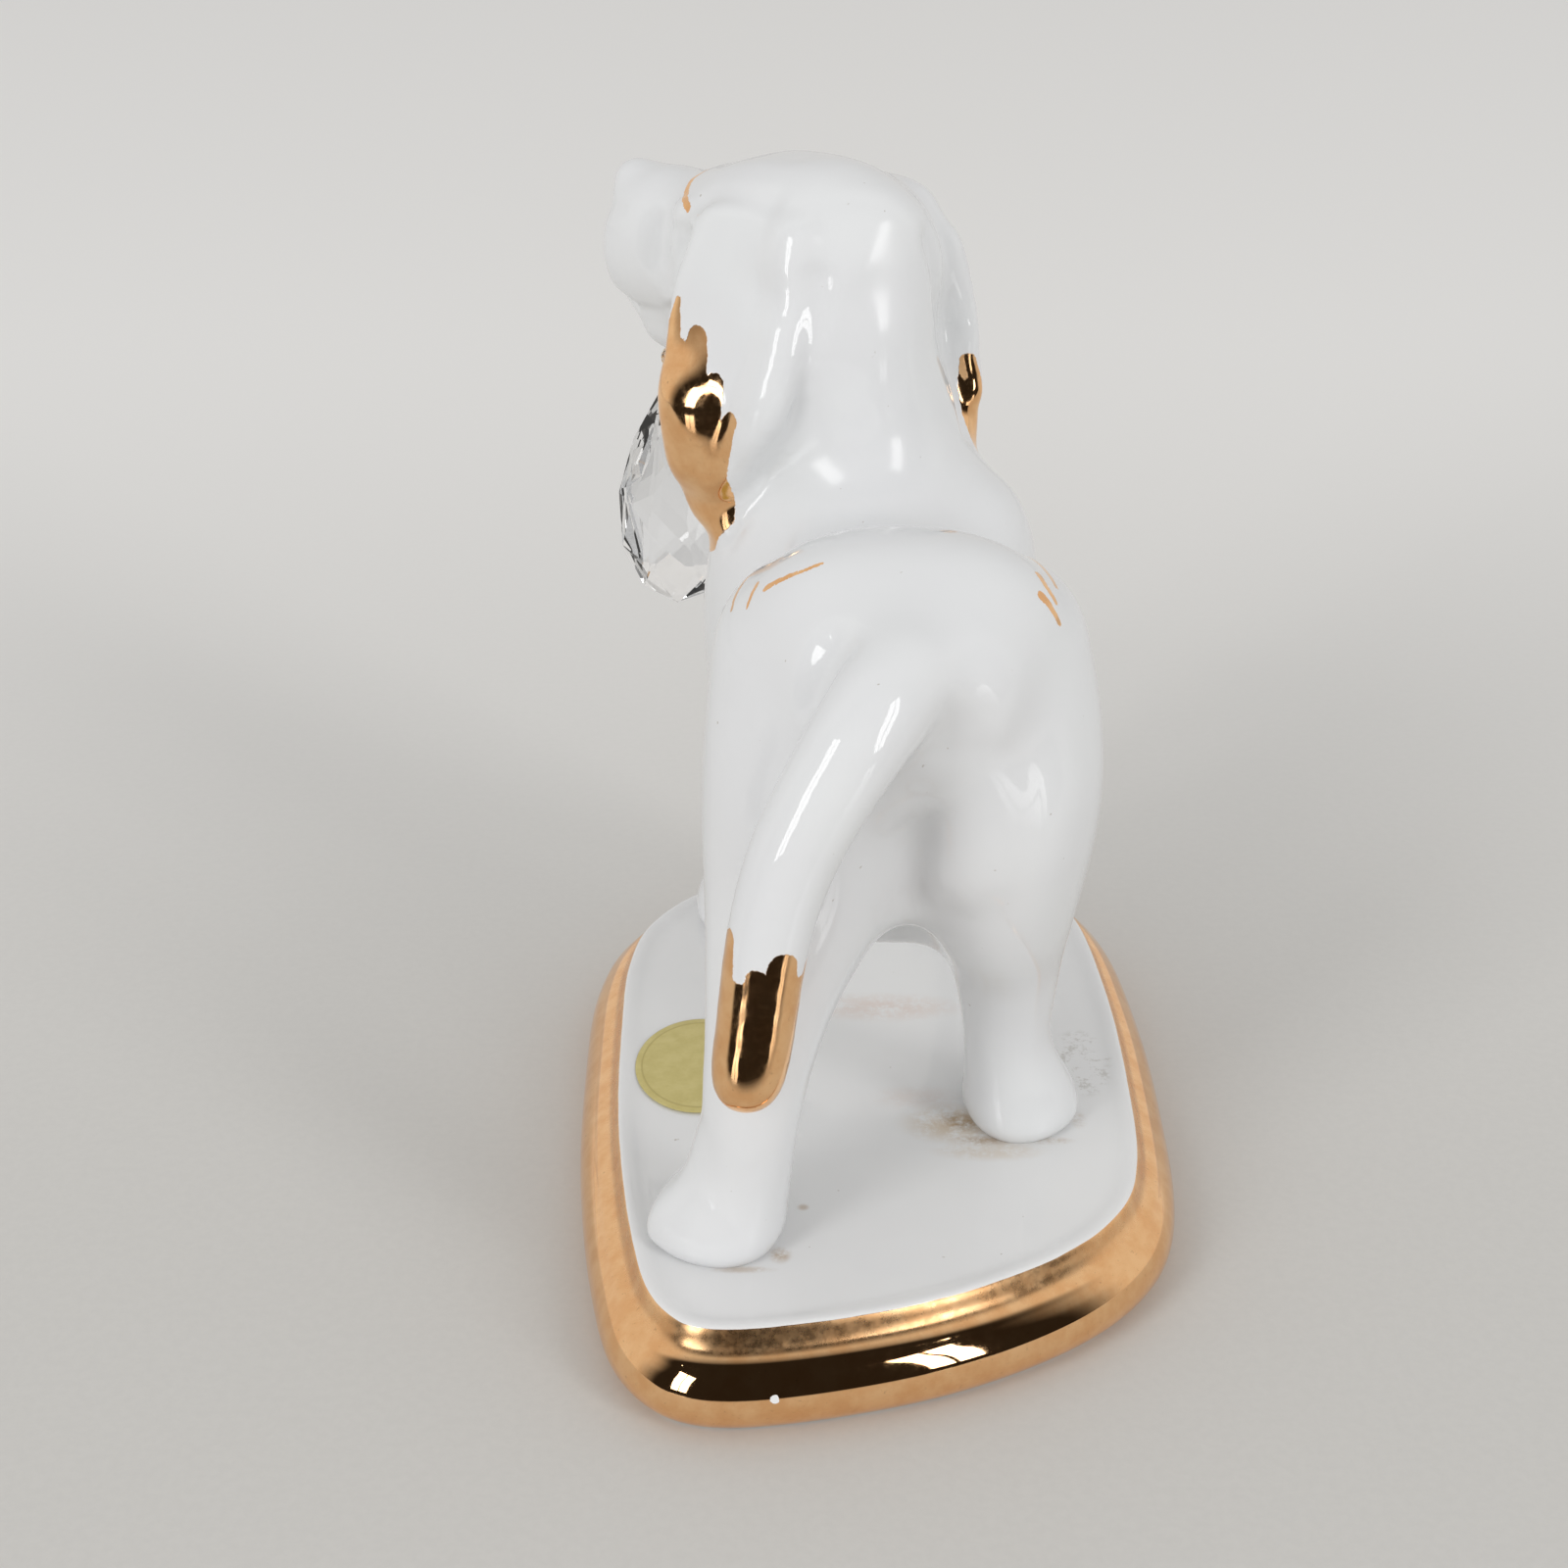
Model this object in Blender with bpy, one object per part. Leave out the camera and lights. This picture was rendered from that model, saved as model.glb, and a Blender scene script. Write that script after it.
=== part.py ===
"""A porcelain hound on a gilded plinth, with a faceted crystal drop hanging from its mouth.

Metres, +Z up. The origin is the middle of the plinth's underside. The dog faces +Y and turns its head
to -X. The porcelain is cast in sections that are luted together, and each section is its own object.
"""
import math
import bmesh
import bpy
from mathutils import Vector

MM = 0.001

# Clearance left where two pieces meet.
GAP = 0.3

# Plinth, in millimetres: the white deck's size, its outline seen from above, which is stretched to that
# size, and the gilded rim round it.
DECK_WIDTH = 69.7
DECK_LENGTH = 120.0
DECK_OUTLINE = [
    (-18.5, -60.2), (-27.2, -55.2), (-31.2, -40.0), (-34.0, -15.0), (-34.8, 10.0), (-34.4, 29.0),
    (-31.0, 41.8), (-22.0, 52.2), (-6.0, 58.2), (12.0, 59.6), (25.0, 54.6), (31.6, 42.0),
    (34.2, 20.0), (34.8, -2.0), (34.0, -24.0), (30.0, -36.5), (20.0, -46.8), (3.0, -55.6),
]
DECK_HEIGHT = 12.6
DECK_LIP = 0.4
RIM_FLARE = 5.2
RIM_GROOVE = 8.3
OUTLINE_STEPS = 4

# Torso. Heights here and below are above the deck.
RUMP_Y = -31.0
CROUP_Y = -22.0
THIGH_Y = -12.5
LOIN_Y = -3.0
RIB_Y = 9.0
WITHERS_Y = 22.0
SHOULDER_Y = 34.0
CHEST_Y = 43.0
RUMP_TOP = 82.4
CROUP_TOP = 86.6
HIP_TOP = 84.8
LOIN_TOP = 79.0
BACK_TOP = 76.5
WITHERS_TOP = 79.5
CHEST_TOP = 68.0
RUMP_UNDER = 61.5
CROUP_UNDER = 53.0
GROIN_UNDER = 34.0
BELLY_UNDER = 21.5
BRISKET_UNDER = 24.5
CHEST_UNDER = 33.0
RUMP_WIDTH = 31.0
HIP_WIDTH = 41.4
LOIN_WIDTH = 38.4
SHOULDER_WIDTH = 42.6
CHEST_WIDTH = 31.0
RUMP_ROUND = 8.6
CHEST_ROUND = 9.0
# The hind part of the body stands a little to the dog's right.
RUMP_X = 2.4
HIP_X = 2.0
# How far the hips fill the corners of the torso's oval section, as a share of its radius.
HIP_FULLNESS = 0.10

# Neck.
NECK_BASE_WIDTH = 35.0
NECK_WIDTH = 25.0
NECK_TUCK = 2.9
NECK_X = -3.4
NECK_Y = 33.5

# Head: the middle of the skull, the way it faces, and its sizes.
SKULL_X = -6.5
SKULL_Y = 33.0
SKULL_RISE = 23.4
SKULL_HEIGHT = WITHERS_TOP + SKULL_RISE
HEAD_TURN = math.radians(50.0)
SKULL_WIDTH = 29.6
SKULL_DEPTH = 29.6
BROW_REACH = 15.0
MUZZLE_WIDTH = 17.8
MUZZLE_DEPTH = 21.6
MUZZLE_REACH = 33.8
NOSE_WIDTH = 7.6
JAW_WIDTH = 12.0
JAW_DEPTH = 8.0

# Ears: how far out, how far forward and how high each station is, with its width.
EAR_THICKNESS = 3.8
EAR_WIDTH = 24.0
EAR_OUT = 16.4
EAR_RISE = 9.1
EAR_LENGTH = 40.2
EAR_TOP = SKULL_HEIGHT + EAR_RISE
EAR_TIP = EAR_TOP - EAR_LENGTH
# Each ear's side, how far it is set forward and drawn in, how far forward its tip hangs, and how far it
# is turned to lie round the back of the neck.
LEFT_EAR = (-1.0, 4.8, 1.7, 4.4, math.radians(10.0))
RIGHT_EAR = (1.0, -0.6, 0.0, -8.0, 0.0)

# Legs.
THIGH_WIDTH = 22.0
HOCK_WIDTH = 12.8
FORELEG_WIDTH = 12.0
HIND_PAW_WIDTH = 17.4
HIND_PAW_LENGTH = 19.4
FORE_PAW_WIDTH = 14.8
FORE_PAW_LENGTH = 17.6
PAW_HEIGHT = 9.4
LEG_ROUND = 10.0
# Where the legs stand: in from the torso's sides, and down from its top line.
THIGH_INSET = 8.8
SHOULDER_INSET = 6.6
THIGH_BELOW_HIP = 18.8
SHOULDER_BELOW_WITHERS = 11.9

# Tail.
TAIL_ROOT_WIDTH = 13.6
TAIL_WIDTH = 10.8
TAIL_TIP_WIDTH = 9.4
TAIL_BELOW_CROUP = 9.0
TAIL_DROP = 44.0
TAIL_ROUND = 4.0

# Crystal drop and its gilt wire. They hang in line below DROP_X, DROP_Y.
DROP_X = -27.2
DROP_Y = 50.0
DROP_TURN = math.radians(12.0)
EYE_BELOW_SKULL = 17.3
EYE_RADIUS = 1.5
EYE_WIRE = 0.8
SHANK_LENGTH = 4.0
RING_RADIUS = 3.2
RING_WIRE = 0.8
DROP_LENGTH = 32.4
DROP_WIDTH = 17.0
DROP_THICKNESS = 9.6
DROP_NECK = 3.4
DROP_BORE = 2.2
DROP_CROWN = 1.6
DROP_SIDES = 12

# Foil sticker on the deck.
STICKER_X = -23.4
STICKER_Y = 2.0
STICKER_WIDTH = 17.8
STICKER_LENGTH = 24.5
STICKER_THICKNESS = 0.2

# How finely the round shapes are drawn.
SIDES = 20
STEPS = 2
RING_SIDES = 20
WIRE_SIDES = 8

# Where the dog stands on the plinth.
DOG_SHIFT_Y = -2.0


def material(name, colour, roughness, metallic=0.0, transmission=0.0):
    """A Principled material with one colour."""
    made = bpy.data.materials.new(name)
    made.use_nodes = True
    shader = made.node_tree.nodes["Principled BSDF"]
    shader.inputs["Base Color"].default_value = (*colour, 1.0)
    shader.inputs["Roughness"].default_value = roughness
    shader.inputs["Metallic"].default_value = metallic
    shader.inputs["Transmission Weight"].default_value = transmission
    made.diffuse_color = (*colour, 1.0)
    return made


def add_object(name, bm, finish, origin=(0.0, 0.0, 0.0)):
    """Turn a bmesh, drawn in world metres, into an object whose origin is at the given place."""
    bmesh.ops.recalc_face_normals(bm, faces=bm.faces)
    mesh = bpy.data.meshes.new(name)
    bmesh.ops.translate(bm, verts=bm.verts, vec=-Vector(origin))
    bm.to_mesh(mesh)
    bm.free()
    made = bpy.data.objects.new(name, mesh)
    made.location = origin
    bpy.context.scene.collection.objects.link(made)
    if finish is not None:
        mesh.materials.append(finish)
        mesh.shade_smooth()
    return made


def cut_from(target, cutter, operation="DIFFERENCE"):
    """Cut, or join, another object into the target. The other one is left out of the part."""
    modifier = target.modifiers.new(operation.lower(), "BOOLEAN")
    modifier.operation = operation
    modifier.solver = "EXACT"
    modifier.object = cutter
    cutter.hide_render = True
    cutter.display_type = "WIRE"


def dog(x, y, height):
    """A place in the dog's frame: millimetres, with heights above the deck."""
    return Vector((x, y + DOG_SHIFT_Y, height + DECK_HEIGHT)) * MM


def smooth_path(values, steps, closed=False):
    """Catmull-Rom points through rows of numbers."""
    rows = [Vector(row) for row in values]
    count = len(rows)
    last = count if closed else count - 1
    made = []
    for index in range(last):
        if closed:
            p0, p1, p2, p3 = (rows[(index + k) % count] for k in (-1, 0, 1, 2))
        else:
            p1, p2 = rows[index], rows[index + 1]
            p0 = rows[index - 1] if index else p1 * 2 - p2
            p3 = rows[index + 2] if index + 2 < count else p2 * 2 - p1
        for step in range(steps):
            t = step / steps
            made.append((p1 * 2 + (p2 - p0) * t + (p0 * 2 - p1 * 5 + p2 * 4 - p3) * t ** 2
                         + (p1 * 3 - p0 - p2 * 3 + p3) * t ** 3) * 0.5)
    if not closed:
        made.append(rows[-1])
    return made


def loft(stations, side, start_round, end_round, grow=0.0, facing=None):
    """A closed round body through stations (x, y, height, half width, half depth) in the dog's frame.

    The half width lies along the side direction, and the half depth lies square to it and to the path.
    A sixth number, where given, fills the corners of the oval out by that share.
    Each end is rounded over the given length. grow thickens the body all over. Every ring is square to
    the path, or square to the facing direction where one is given.
    """
    rows = smooth_path([(*station, 0.0)[:6] for station in stations], STEPS)
    middles = [Vector(row[:3]) for row in rows]
    bm = bmesh.new()
    rings = []

    def add_ring(middle, across, through, half_width, half_depth, fullness):
        ring = []
        for index in range(SIDES):
            turn = 2 * math.pi * index / SIDES
            full = 1 + fullness * math.sin(2 * turn) ** 2
            spot = (middle + across * (half_width * full * math.cos(turn))
                    + through * (half_depth * full * math.sin(turn)))
            ring.append(bm.verts.new(dog(*spot)))
        rings.append(ring)

    def frame_at(index):
        before = middles[max(index - 1, 0)]
        after = middles[min(index + 1, len(middles) - 1)]
        along = facing or (after - before).normalized()
        across = (side - along * side.dot(along)).normalized()
        return along, across, along.cross(across)

    along, across, through = frame_at(0)
    tip = middles[0] - along * (start_round + grow)
    start_tip = bm.verts.new(dog(*tip))
    for angle in (65.0, 35.0):
        back = (start_round + grow) * math.sin(math.radians(angle))
        small = math.cos(math.radians(angle))
        add_ring(middles[0] - along * back, across, through,
                 (rows[0][3] + grow) * small, (rows[0][4] + grow) * small, rows[0][5])
    for index, row in enumerate(rows):
        along, across, through = frame_at(index)
        add_ring(middles[index], across, through, row[3] + grow, row[4] + grow, row[5])
    for angle in (35.0, 65.0):
        ahead = (end_round + grow) * math.sin(math.radians(angle))
        small = math.cos(math.radians(angle))
        add_ring(middles[-1] + along * ahead, across, through,
                 (rows[-1][3] + grow) * small, (rows[-1][4] + grow) * small, rows[-1][5])
    end_tip = bm.verts.new(dog(*(middles[-1] + along * (end_round + grow))))
    for ring, following in zip(rings, rings[1:]):
        for index in range(SIDES):
            after = (index + 1) % SIDES
            bm.faces.new((ring[index], ring[after], following[after], following[index]))
    for index in range(SIDES):
        after = (index + 1) % SIDES
        bm.faces.new((start_tip, rings[0][after], rings[0][index]))
        bm.faces.new((end_tip, rings[-1][index], rings[-1][after]))
    return bm


ACROSS = Vector((1.0, 0.0, 0.0))
FORWARD = Vector((0.0, 1.0, 0.0))
UPWARD = Vector((0.0, 0.0, 1.0))
HEAD_FORWARD = Vector((-math.sin(HEAD_TURN), math.cos(HEAD_TURN), 0.0))
HEAD_RIGHT = Vector((math.cos(HEAD_TURN), math.sin(HEAD_TURN), 0.0))
SKULL = Vector((SKULL_X, SKULL_Y, SKULL_HEIGHT))


def torso_row(x, y, top, under, width, fullness=0.0):
    """One station of the torso, from its top and bottom heights."""
    return (x, y, (top + under) / 2, width / 2, (top - under) / 2, fullness)


def trunk(grow=0.0):
    """The barrel of the body, from the rump to the chest."""
    stations = [
        torso_row(RUMP_X, RUMP_Y, RUMP_TOP, RUMP_UNDER, RUMP_WIDTH, HIP_FULLNESS / 2),
        torso_row(RUMP_X, CROUP_Y, CROUP_TOP, CROUP_UNDER, HIP_WIDTH - 1.4, HIP_FULLNESS),
        torso_row(HIP_X, THIGH_Y, HIP_TOP, GROIN_UNDER, HIP_WIDTH, HIP_FULLNESS),
        torso_row(1.4, LOIN_Y, LOIN_TOP, BELLY_UNDER, LOIN_WIDTH, HIP_FULLNESS * 0.8),
        torso_row(0.9, RIB_Y, BACK_TOP, BELLY_UNDER + 1.0, LOIN_WIDTH + 0.8),
        torso_row(-0.2, WITHERS_Y, WITHERS_TOP, BRISKET_UNDER, SHOULDER_WIDTH),
        torso_row(-0.6, SHOULDER_Y, WITHERS_TOP - 3.5, (BRISKET_UNDER + CHEST_UNDER) / 2, SHOULDER_WIDTH - 3.0),
        torso_row(-0.8, CHEST_Y, CHEST_TOP, CHEST_UNDER, CHEST_WIDTH),
    ]
    return loft(stations, ACROSS, RUMP_ROUND, CHEST_ROUND, grow, FORWARD)


def neck(grow=0.0):
    """The neck, from inside the withers to inside the skull."""
    base, top = WITHERS_TOP - 14.0, SKULL_HEIGHT - NECK_TUCK
    rise = top - base
    stations = [
        (-0.2, WITHERS_Y + 4.0, base, NECK_BASE_WIDTH / 2, NECK_BASE_WIDTH / 2 + 1.0),
        (-1.6, NECK_Y - 1.5, base + rise * 0.377, NECK_WIDTH / 2 + 2.0, NECK_WIDTH / 2 + 3.0),
        (NECK_X, NECK_Y - 1.8, base + rise * 0.71, NECK_WIDTH / 2, NECK_WIDTH / 2 + 2.2, 0.04),
        (SKULL_X + 1.3, NECK_Y - 1.0, top, NECK_WIDTH / 2 - 1.5, NECK_WIDTH / 2 - 1.0),
    ]
    return loft(stations, ACROSS, 6.0, 4.0, grow)


def head_spot(out, forward, height):
    """A place given from the skull's middle: out to the dog's right, forward, and its height."""
    spot = SKULL + HEAD_RIGHT * out + HEAD_FORWARD * forward
    return (spot.x, spot.y, height)


def head_bodies(grow=0.0):
    """The skull with the muzzle, the nose and the lower jaw, as overlapping bodies."""
    middle = SKULL_HEIGHT
    skull = [
        (*head_spot(-0.8, -10.0, middle - 0.5), SKULL_WIDTH * 0.36, SKULL_DEPTH * 0.43),
        (*head_spot(0.0, -2.0, middle), SKULL_WIDTH * 0.48, SKULL_DEPTH / 2),
        (*head_spot(0.0, BROW_REACH - 7.0, middle + 0.2), SKULL_WIDTH * 0.48, SKULL_DEPTH * 0.485),
        (*head_spot(0.0, BROW_REACH, middle - 0.6), SKULL_WIDTH * 0.40, SKULL_DEPTH * 0.425),
        (*head_spot(0.0, BROW_REACH + 6.5, middle - 1.2), MUZZLE_WIDTH * 0.52, MUZZLE_DEPTH / 2),
        (*head_spot(0.0, MUZZLE_REACH - 6.0, middle - 1.0), MUZZLE_WIDTH / 2, MUZZLE_DEPTH / 2),
        (*head_spot(0.0, MUZZLE_REACH - 1.0, middle - 0.5), MUZZLE_WIDTH * 0.41, MUZZLE_DEPTH * 0.43),
    ]
    nose_height = middle + MUZZLE_DEPTH * 0.31
    nose = [
        (*head_spot(0.0, MUZZLE_REACH - 3.0, nose_height), NOSE_WIDTH * 0.42, NOSE_WIDTH * 0.38),
        (*head_spot(0.0, MUZZLE_REACH, nose_height), NOSE_WIDTH / 2, NOSE_WIDTH * 0.42),
    ]
    jaw_height = middle - MUZZLE_DEPTH * 0.5 - JAW_DEPTH * 0.1
    jaw = [
        (*head_spot(0.0, BROW_REACH - 4.0, jaw_height + 2.0), JAW_WIDTH / 2, JAW_DEPTH / 2),
        (*head_spot(0.0, MUZZLE_REACH - 11.0, jaw_height), JAW_WIDTH / 2, JAW_DEPTH / 2),
        (*head_spot(0.0, MUZZLE_REACH - 6.0, jaw_height), JAW_WIDTH * 0.42, JAW_DEPTH * 0.45),
    ]
    return (loft(skull, HEAD_RIGHT, 5.0, 3.0, grow),
            loft(nose, HEAD_RIGHT, 3.0, 2.4, grow),
            loft(jaw, HEAD_RIGHT, 4.0, 2.5, grow))


def joined(name, bodies, finish):
    """One object made of overlapping bodies."""
    base = add_object(name, bodies[0], finish)
    for index, body in enumerate(bodies[1:]):
        cut_from(base, add_object(f"{name}_add_{index}", body, None), "UNION")
    return base


def trimmed_by(target, bodies, label):
    """Cut the given bodies, which overlap one another, out of the target."""
    cut_from(target, joined(f"{target.name}_{label}", bodies, None))


def ear_body(side, lead, draw_in, sweep, wrap, grow=0.0):
    """A hanging ear. side is -1 for the dog's left; lead moves it forward along the head.

    draw_in brings it closer to the head, sweep is how far forward its tip hangs, and wrap turns its rear
    edge towards the neck.
    """
    half = EAR_THICKNESS / 2
    drop = EAR_TOP - EAR_TIP
    flat = Vector((-math.sin(HEAD_TURN - side * wrap), math.cos(HEAD_TURN - side * wrap), 0.0))
    rows = [
        (EAR_OUT - 4.6, 0.0, EAR_TOP, EAR_WIDTH * 0.33, half),
        (EAR_OUT - 1.4, -0.5, EAR_TOP - drop * 0.22, EAR_WIDTH * 0.45, half),
        (EAR_OUT, 0.0, EAR_TOP - drop * 0.52, EAR_WIDTH / 2, half),
        (EAR_OUT, sweep * 0.4, EAR_TOP - drop * 0.68, EAR_WIDTH * 0.38, half),
        (EAR_OUT - 0.5, sweep * 0.78, EAR_TOP - drop * 0.84, EAR_WIDTH * 0.25, half),
        (EAR_OUT - 1.4, sweep, EAR_TIP, EAR_WIDTH * 0.12, half * 0.8),
    ]
    # A turned ear keeps its width as seen along the body.
    narrow = math.sin(HEAD_TURN) / math.sin(HEAD_TURN - side * wrap)
    stations = [(*head_spot(side * (out - draw_in), forward + lead, height), wide * narrow, thick)
                for out, forward, height, wide, thick in rows]
    return loft(stations, flat, 2.0, 1.6, grow)


def ear(name, body, finish):
    """An ear, cut where it meets the head and the torso."""
    made = add_object(name, body, finish)
    trimmed_by(made, head_bodies(GAP), "head")
    trimmed_by(made, (trunk(GAP), neck(GAP)), "torso")
    return made


def paw(ankle, step, width, length, turn):
    """A paw as a loft from heel to toes, turned about the vertical.

    ankle is the leg's last station, and step is how far from it, in x and y, the paw's middle lies.
    """
    forward = Vector((math.sin(turn), math.cos(turn), 0.0))
    right = Vector((math.cos(turn), -math.sin(turn), 0.0))
    rows = [(-0.24, 0.40, 0.50), (0.04, 0.49, 0.50), (0.26, 0.47, 0.40)]
    stations = []
    for along, wide, high in rows:
        spot = Vector((ankle[0] + step[0], ankle[1] + step[1], 0.0)) + forward * (along * length)
        stations.append((spot.x, spot.y, PAW_HEIGHT * 0.42, width * wide, PAW_HEIGHT * high))
    return loft(stations, right, length * 0.26, length * 0.24)


def leg(name, stations, foot, torso, finish):
    """A leg with its paw, cut off at the deck and where it meets the torso's bodies."""
    made = joined(name, (loft(stations, ACROSS, LEG_ROUND, 3.0), foot), finish)
    trimmed_by(made, torso, "torso")
    below = bmesh.new()
    bmesh.ops.create_cube(below, size=1.0)
    deep = DECK_HEIGHT + PAW_HEIGHT
    bmesh.ops.scale(below, verts=below.verts, vec=Vector((2 * DECK_WIDTH, 2 * DECK_LENGTH, deep)) * MM)
    bmesh.ops.translate(below, verts=below.verts, vec=dog(0.0, 0.0, GAP - deep / 2))
    cut_from(made, add_object(f"{name}_floor", below, None))
    return made


def hind_left_stations():
    """The left hind leg, stepped back."""
    thigh = THIGH_WIDTH / 2
    hock = HOCK_WIDTH / 2
    x = HIP_X - HIP_WIDTH / 2 + THIGH_INSET
    top = HIP_TOP - THIGH_BELOW_HIP
    return [
        (x, THIGH_Y - 3.5, top, thigh + 0.2, 14.0),
        (x - 0.3, THIGH_Y - 8.0, top * 0.833, thigh + 0.9, 16.0),
        (x - 0.3, THIGH_Y - 12.5, top * 0.652, thigh + 0.8, 13.5),
        (x - 2.7, THIGH_Y - 18.5, top * 0.545, hock + 3.0, 10.0),
        (x - 4.4, THIGH_Y - 23.0, top * 0.44, hock + 1.1, 7.8),
        (x - 5.9, THIGH_Y - 27.5, top * 0.311, hock, 6.4),
        (x - 6.7, THIGH_Y - 27.0, top * 0.182, hock - 0.2, 5.8),
        (x - 8.1, THIGH_Y - 25.5, top * 0.083, hock + 0.8, 6.4),
    ]


def hind_right_stations():
    """The right hind leg, standing forward under the body."""
    thigh = THIGH_WIDTH / 2
    hock = HOCK_WIDTH / 2
    x = HIP_X + HIP_WIDTH / 2 - THIGH_INSET
    top = HIP_TOP - THIGH_BELOW_HIP
    return [
        (x + 0.9, THIGH_Y - 2.5, top, thigh + 0.6, 14.0),
        (x + 1.3, THIGH_Y - 6.0, top * 0.833, thigh + 1.2, 16.0),
        (x + 0.9, THIGH_Y - 6.0, top * 0.652, thigh + 0.2, 13.5),
        (x + 1.7, THIGH_Y - 5.0, top * 0.53, hock + 2.8, 10.4),
        (x + 2.7, THIGH_Y - 2.5, top * 0.424, hock + 0.9, 7.8),
        (x + 3.1, THIGH_Y - 0.5, top * 0.311, hock + 0.1, 6.6),
        (x + 3.3, THIGH_Y + 0.9, top * 0.182, hock - 0.4, 5.8),
        (x + 4.5, THIGH_Y + 2.5, top * 0.083, hock + 0.6, 6.4),
    ]


def foreleg_stations(side):
    """A foreleg. side is -1 for the dog's left."""
    half = FORELEG_WIDTH / 2
    centre = 0.4 if side < 0 else -0.6
    out = (SHOULDER_WIDTH + NECK_BASE_WIDTH) / 4 - SHOULDER_INSET
    top = WITHERS_TOP - SHOULDER_BELOW_WITHERS
    back = WITHERS_Y
    return [
        (centre + side * out, back + 3.5, top, half + 3.6, 12.5),
        (centre + side * (out + 0.8), back + 7.5, top * 0.828, half + 4.0, 12.0),
        (centre + side * (out + 1.6), back + 11.0, top * 0.666, half + 2.8, 10.0),
        (centre + side * (out + 2.8), back + 14.5, top * 0.503, half + 1.2, 7.6),
        (centre + side * (out + 3.8), back + 17.5, top * 0.34, half, 6.2),
        (centre + side * (out + 4.2), back + 19.0, top * 0.185, half - 0.4, 5.6),
        (centre + side * (out + 4.5), back + 20.0, top * 0.081, half + 0.5, 6.2),
    ]


def tail_stations():
    """The tail, hanging down across the left hind leg."""
    root = TAIL_ROOT_WIDTH / 2
    middle = TAIL_WIDTH / 2
    tip = TAIL_TIP_WIDTH / 2
    top = (RUMP_TOP + CROUP_TOP) / 2 - TAIL_BELOW_CROUP
    y = RUMP_Y
    return [
        (RUMP_X + 0.2, y + 4.0, (RUMP_TOP + RUMP_UNDER) / 2, root + 1.0, root),
        (RUMP_X - 1.0, y - 5.0, top, root, root * 0.9),
        (RUMP_X - 6.6, y - 13.0, top - TAIL_DROP * 0.125, middle + 0.5, middle),
        (RUMP_X - 13.2, y - 15.8, top - TAIL_DROP * 0.391, middle, middle),
        (RUMP_X - 16.3, y - 18.0, top - TAIL_DROP * 0.636, middle - 0.4, middle - 0.4),
        (RUMP_X - 17.6, y - 20.0, top - TAIL_DROP * 0.868, tip + 0.1, tip + 0.1),
        (RUMP_X - 18.6, y - 21.0, top - TAIL_DROP, tip, tip),
    ]


def rim_profile():
    """The plinth's side from the deck down: how far out from the deck's outline, and its height."""
    top = DECK_HEIGHT + DECK_LIP
    flare = RIM_FLARE
    groove = RIM_GROOVE
    return [
        (-3.4, DECK_HEIGHT), (-2.0, top - 0.12), (-0.8, top), (0.2, top - 0.1), (1.2, top - 0.8),
        (2.0, top - 1.9), (2.5, groove + 1.5), (2.9, groove + 0.5), (3.5, groove), (flare - 0.6, groove - 1.0),
        (flare, groove - 2.7), (flare, groove - 4.6), (flare - 0.8, groove - 6.6),
        (flare - 2.2, 0.5), (flare - 3.2, 0.0),
    ]


def plinth(finish):
    """The plinth: its outline swept round the rim's profile, with a flat deck and a flat underside."""
    points = smooth_path(DECK_OUTLINE, OUTLINE_STEPS, closed=True)
    low = Vector((min(p.x for p in points), min(p.y for p in points)))
    high = Vector((max(p.x for p in points), max(p.y for p in points)))
    middle = (low + high) / 2
    wide, long = DECK_WIDTH / (high.x - low.x), DECK_LENGTH / (high.y - low.y)
    points = [Vector(((p.x - middle.x) * wide, (p.y - middle.y) * long)) for p in points]
    count = len(points)
    bm = bmesh.new()
    rings = []
    for out, height in rim_profile():
        ring = []
        for index, point in enumerate(points):
            along = (points[(index + 1) % count] - points[index - 1]).normalized()
            spot = point + Vector((along.y, -along.x)) * -out
            ring.append(bm.verts.new(Vector((spot.x, spot.y, height)) * MM))
        rings.append(ring)
    for ring, following in zip(rings, rings[1:]):
        for index in range(count):
            after = (index + 1) % count
            bm.faces.new((ring[index], ring[after], following[after], following[index]))
    bm.faces.new(rings[0])
    bm.faces.new(reversed(rings[-1]))
    return add_object("plinth", bm, finish)


def torus(middle, axis, radius, wire):
    """A closed ring of round wire about the given axis, in world metres."""
    across = axis.orthogonal().normalized()
    up = axis.cross(across).normalized()
    bm = bmesh.new()
    rings = []
    for index in range(RING_SIDES):
        turn = 2 * math.pi * index / RING_SIDES
        outward = across * math.cos(turn) + up * math.sin(turn)
        ring = []
        for corner in range(WIRE_SIDES):
            roll = 2 * math.pi * corner / WIRE_SIDES
            spot = middle + (outward * (radius + wire / 2 * math.cos(roll))
                             + axis * (wire / 2 * math.sin(roll))) * MM
            ring.append(bm.verts.new(spot))
        rings.append(ring)
    for index, ring in enumerate(rings):
        following = rings[(index + 1) % RING_SIDES]
        for corner in range(WIRE_SIDES):
            after = (corner + 1) % WIRE_SIDES
            bm.faces.new((ring[corner], ring[after], following[after], following[corner]))
    return bm


def rod(start, end, radius, sides=12):
    """A straight round rod between two world places."""
    along = end - start
    bm = bmesh.new()
    bmesh.ops.create_cone(bm, cap_ends=True, segments=sides, radius1=radius * MM, radius2=radius * MM,
                          depth=along.length)
    turn = along.to_track_quat("Z", "Y").to_matrix()
    bmesh.ops.rotate(bm, verts=bm.verts, matrix=turn)
    bmesh.ops.translate(bm, verts=bm.verts, vec=(start + end) / 2)
    return bm


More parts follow.
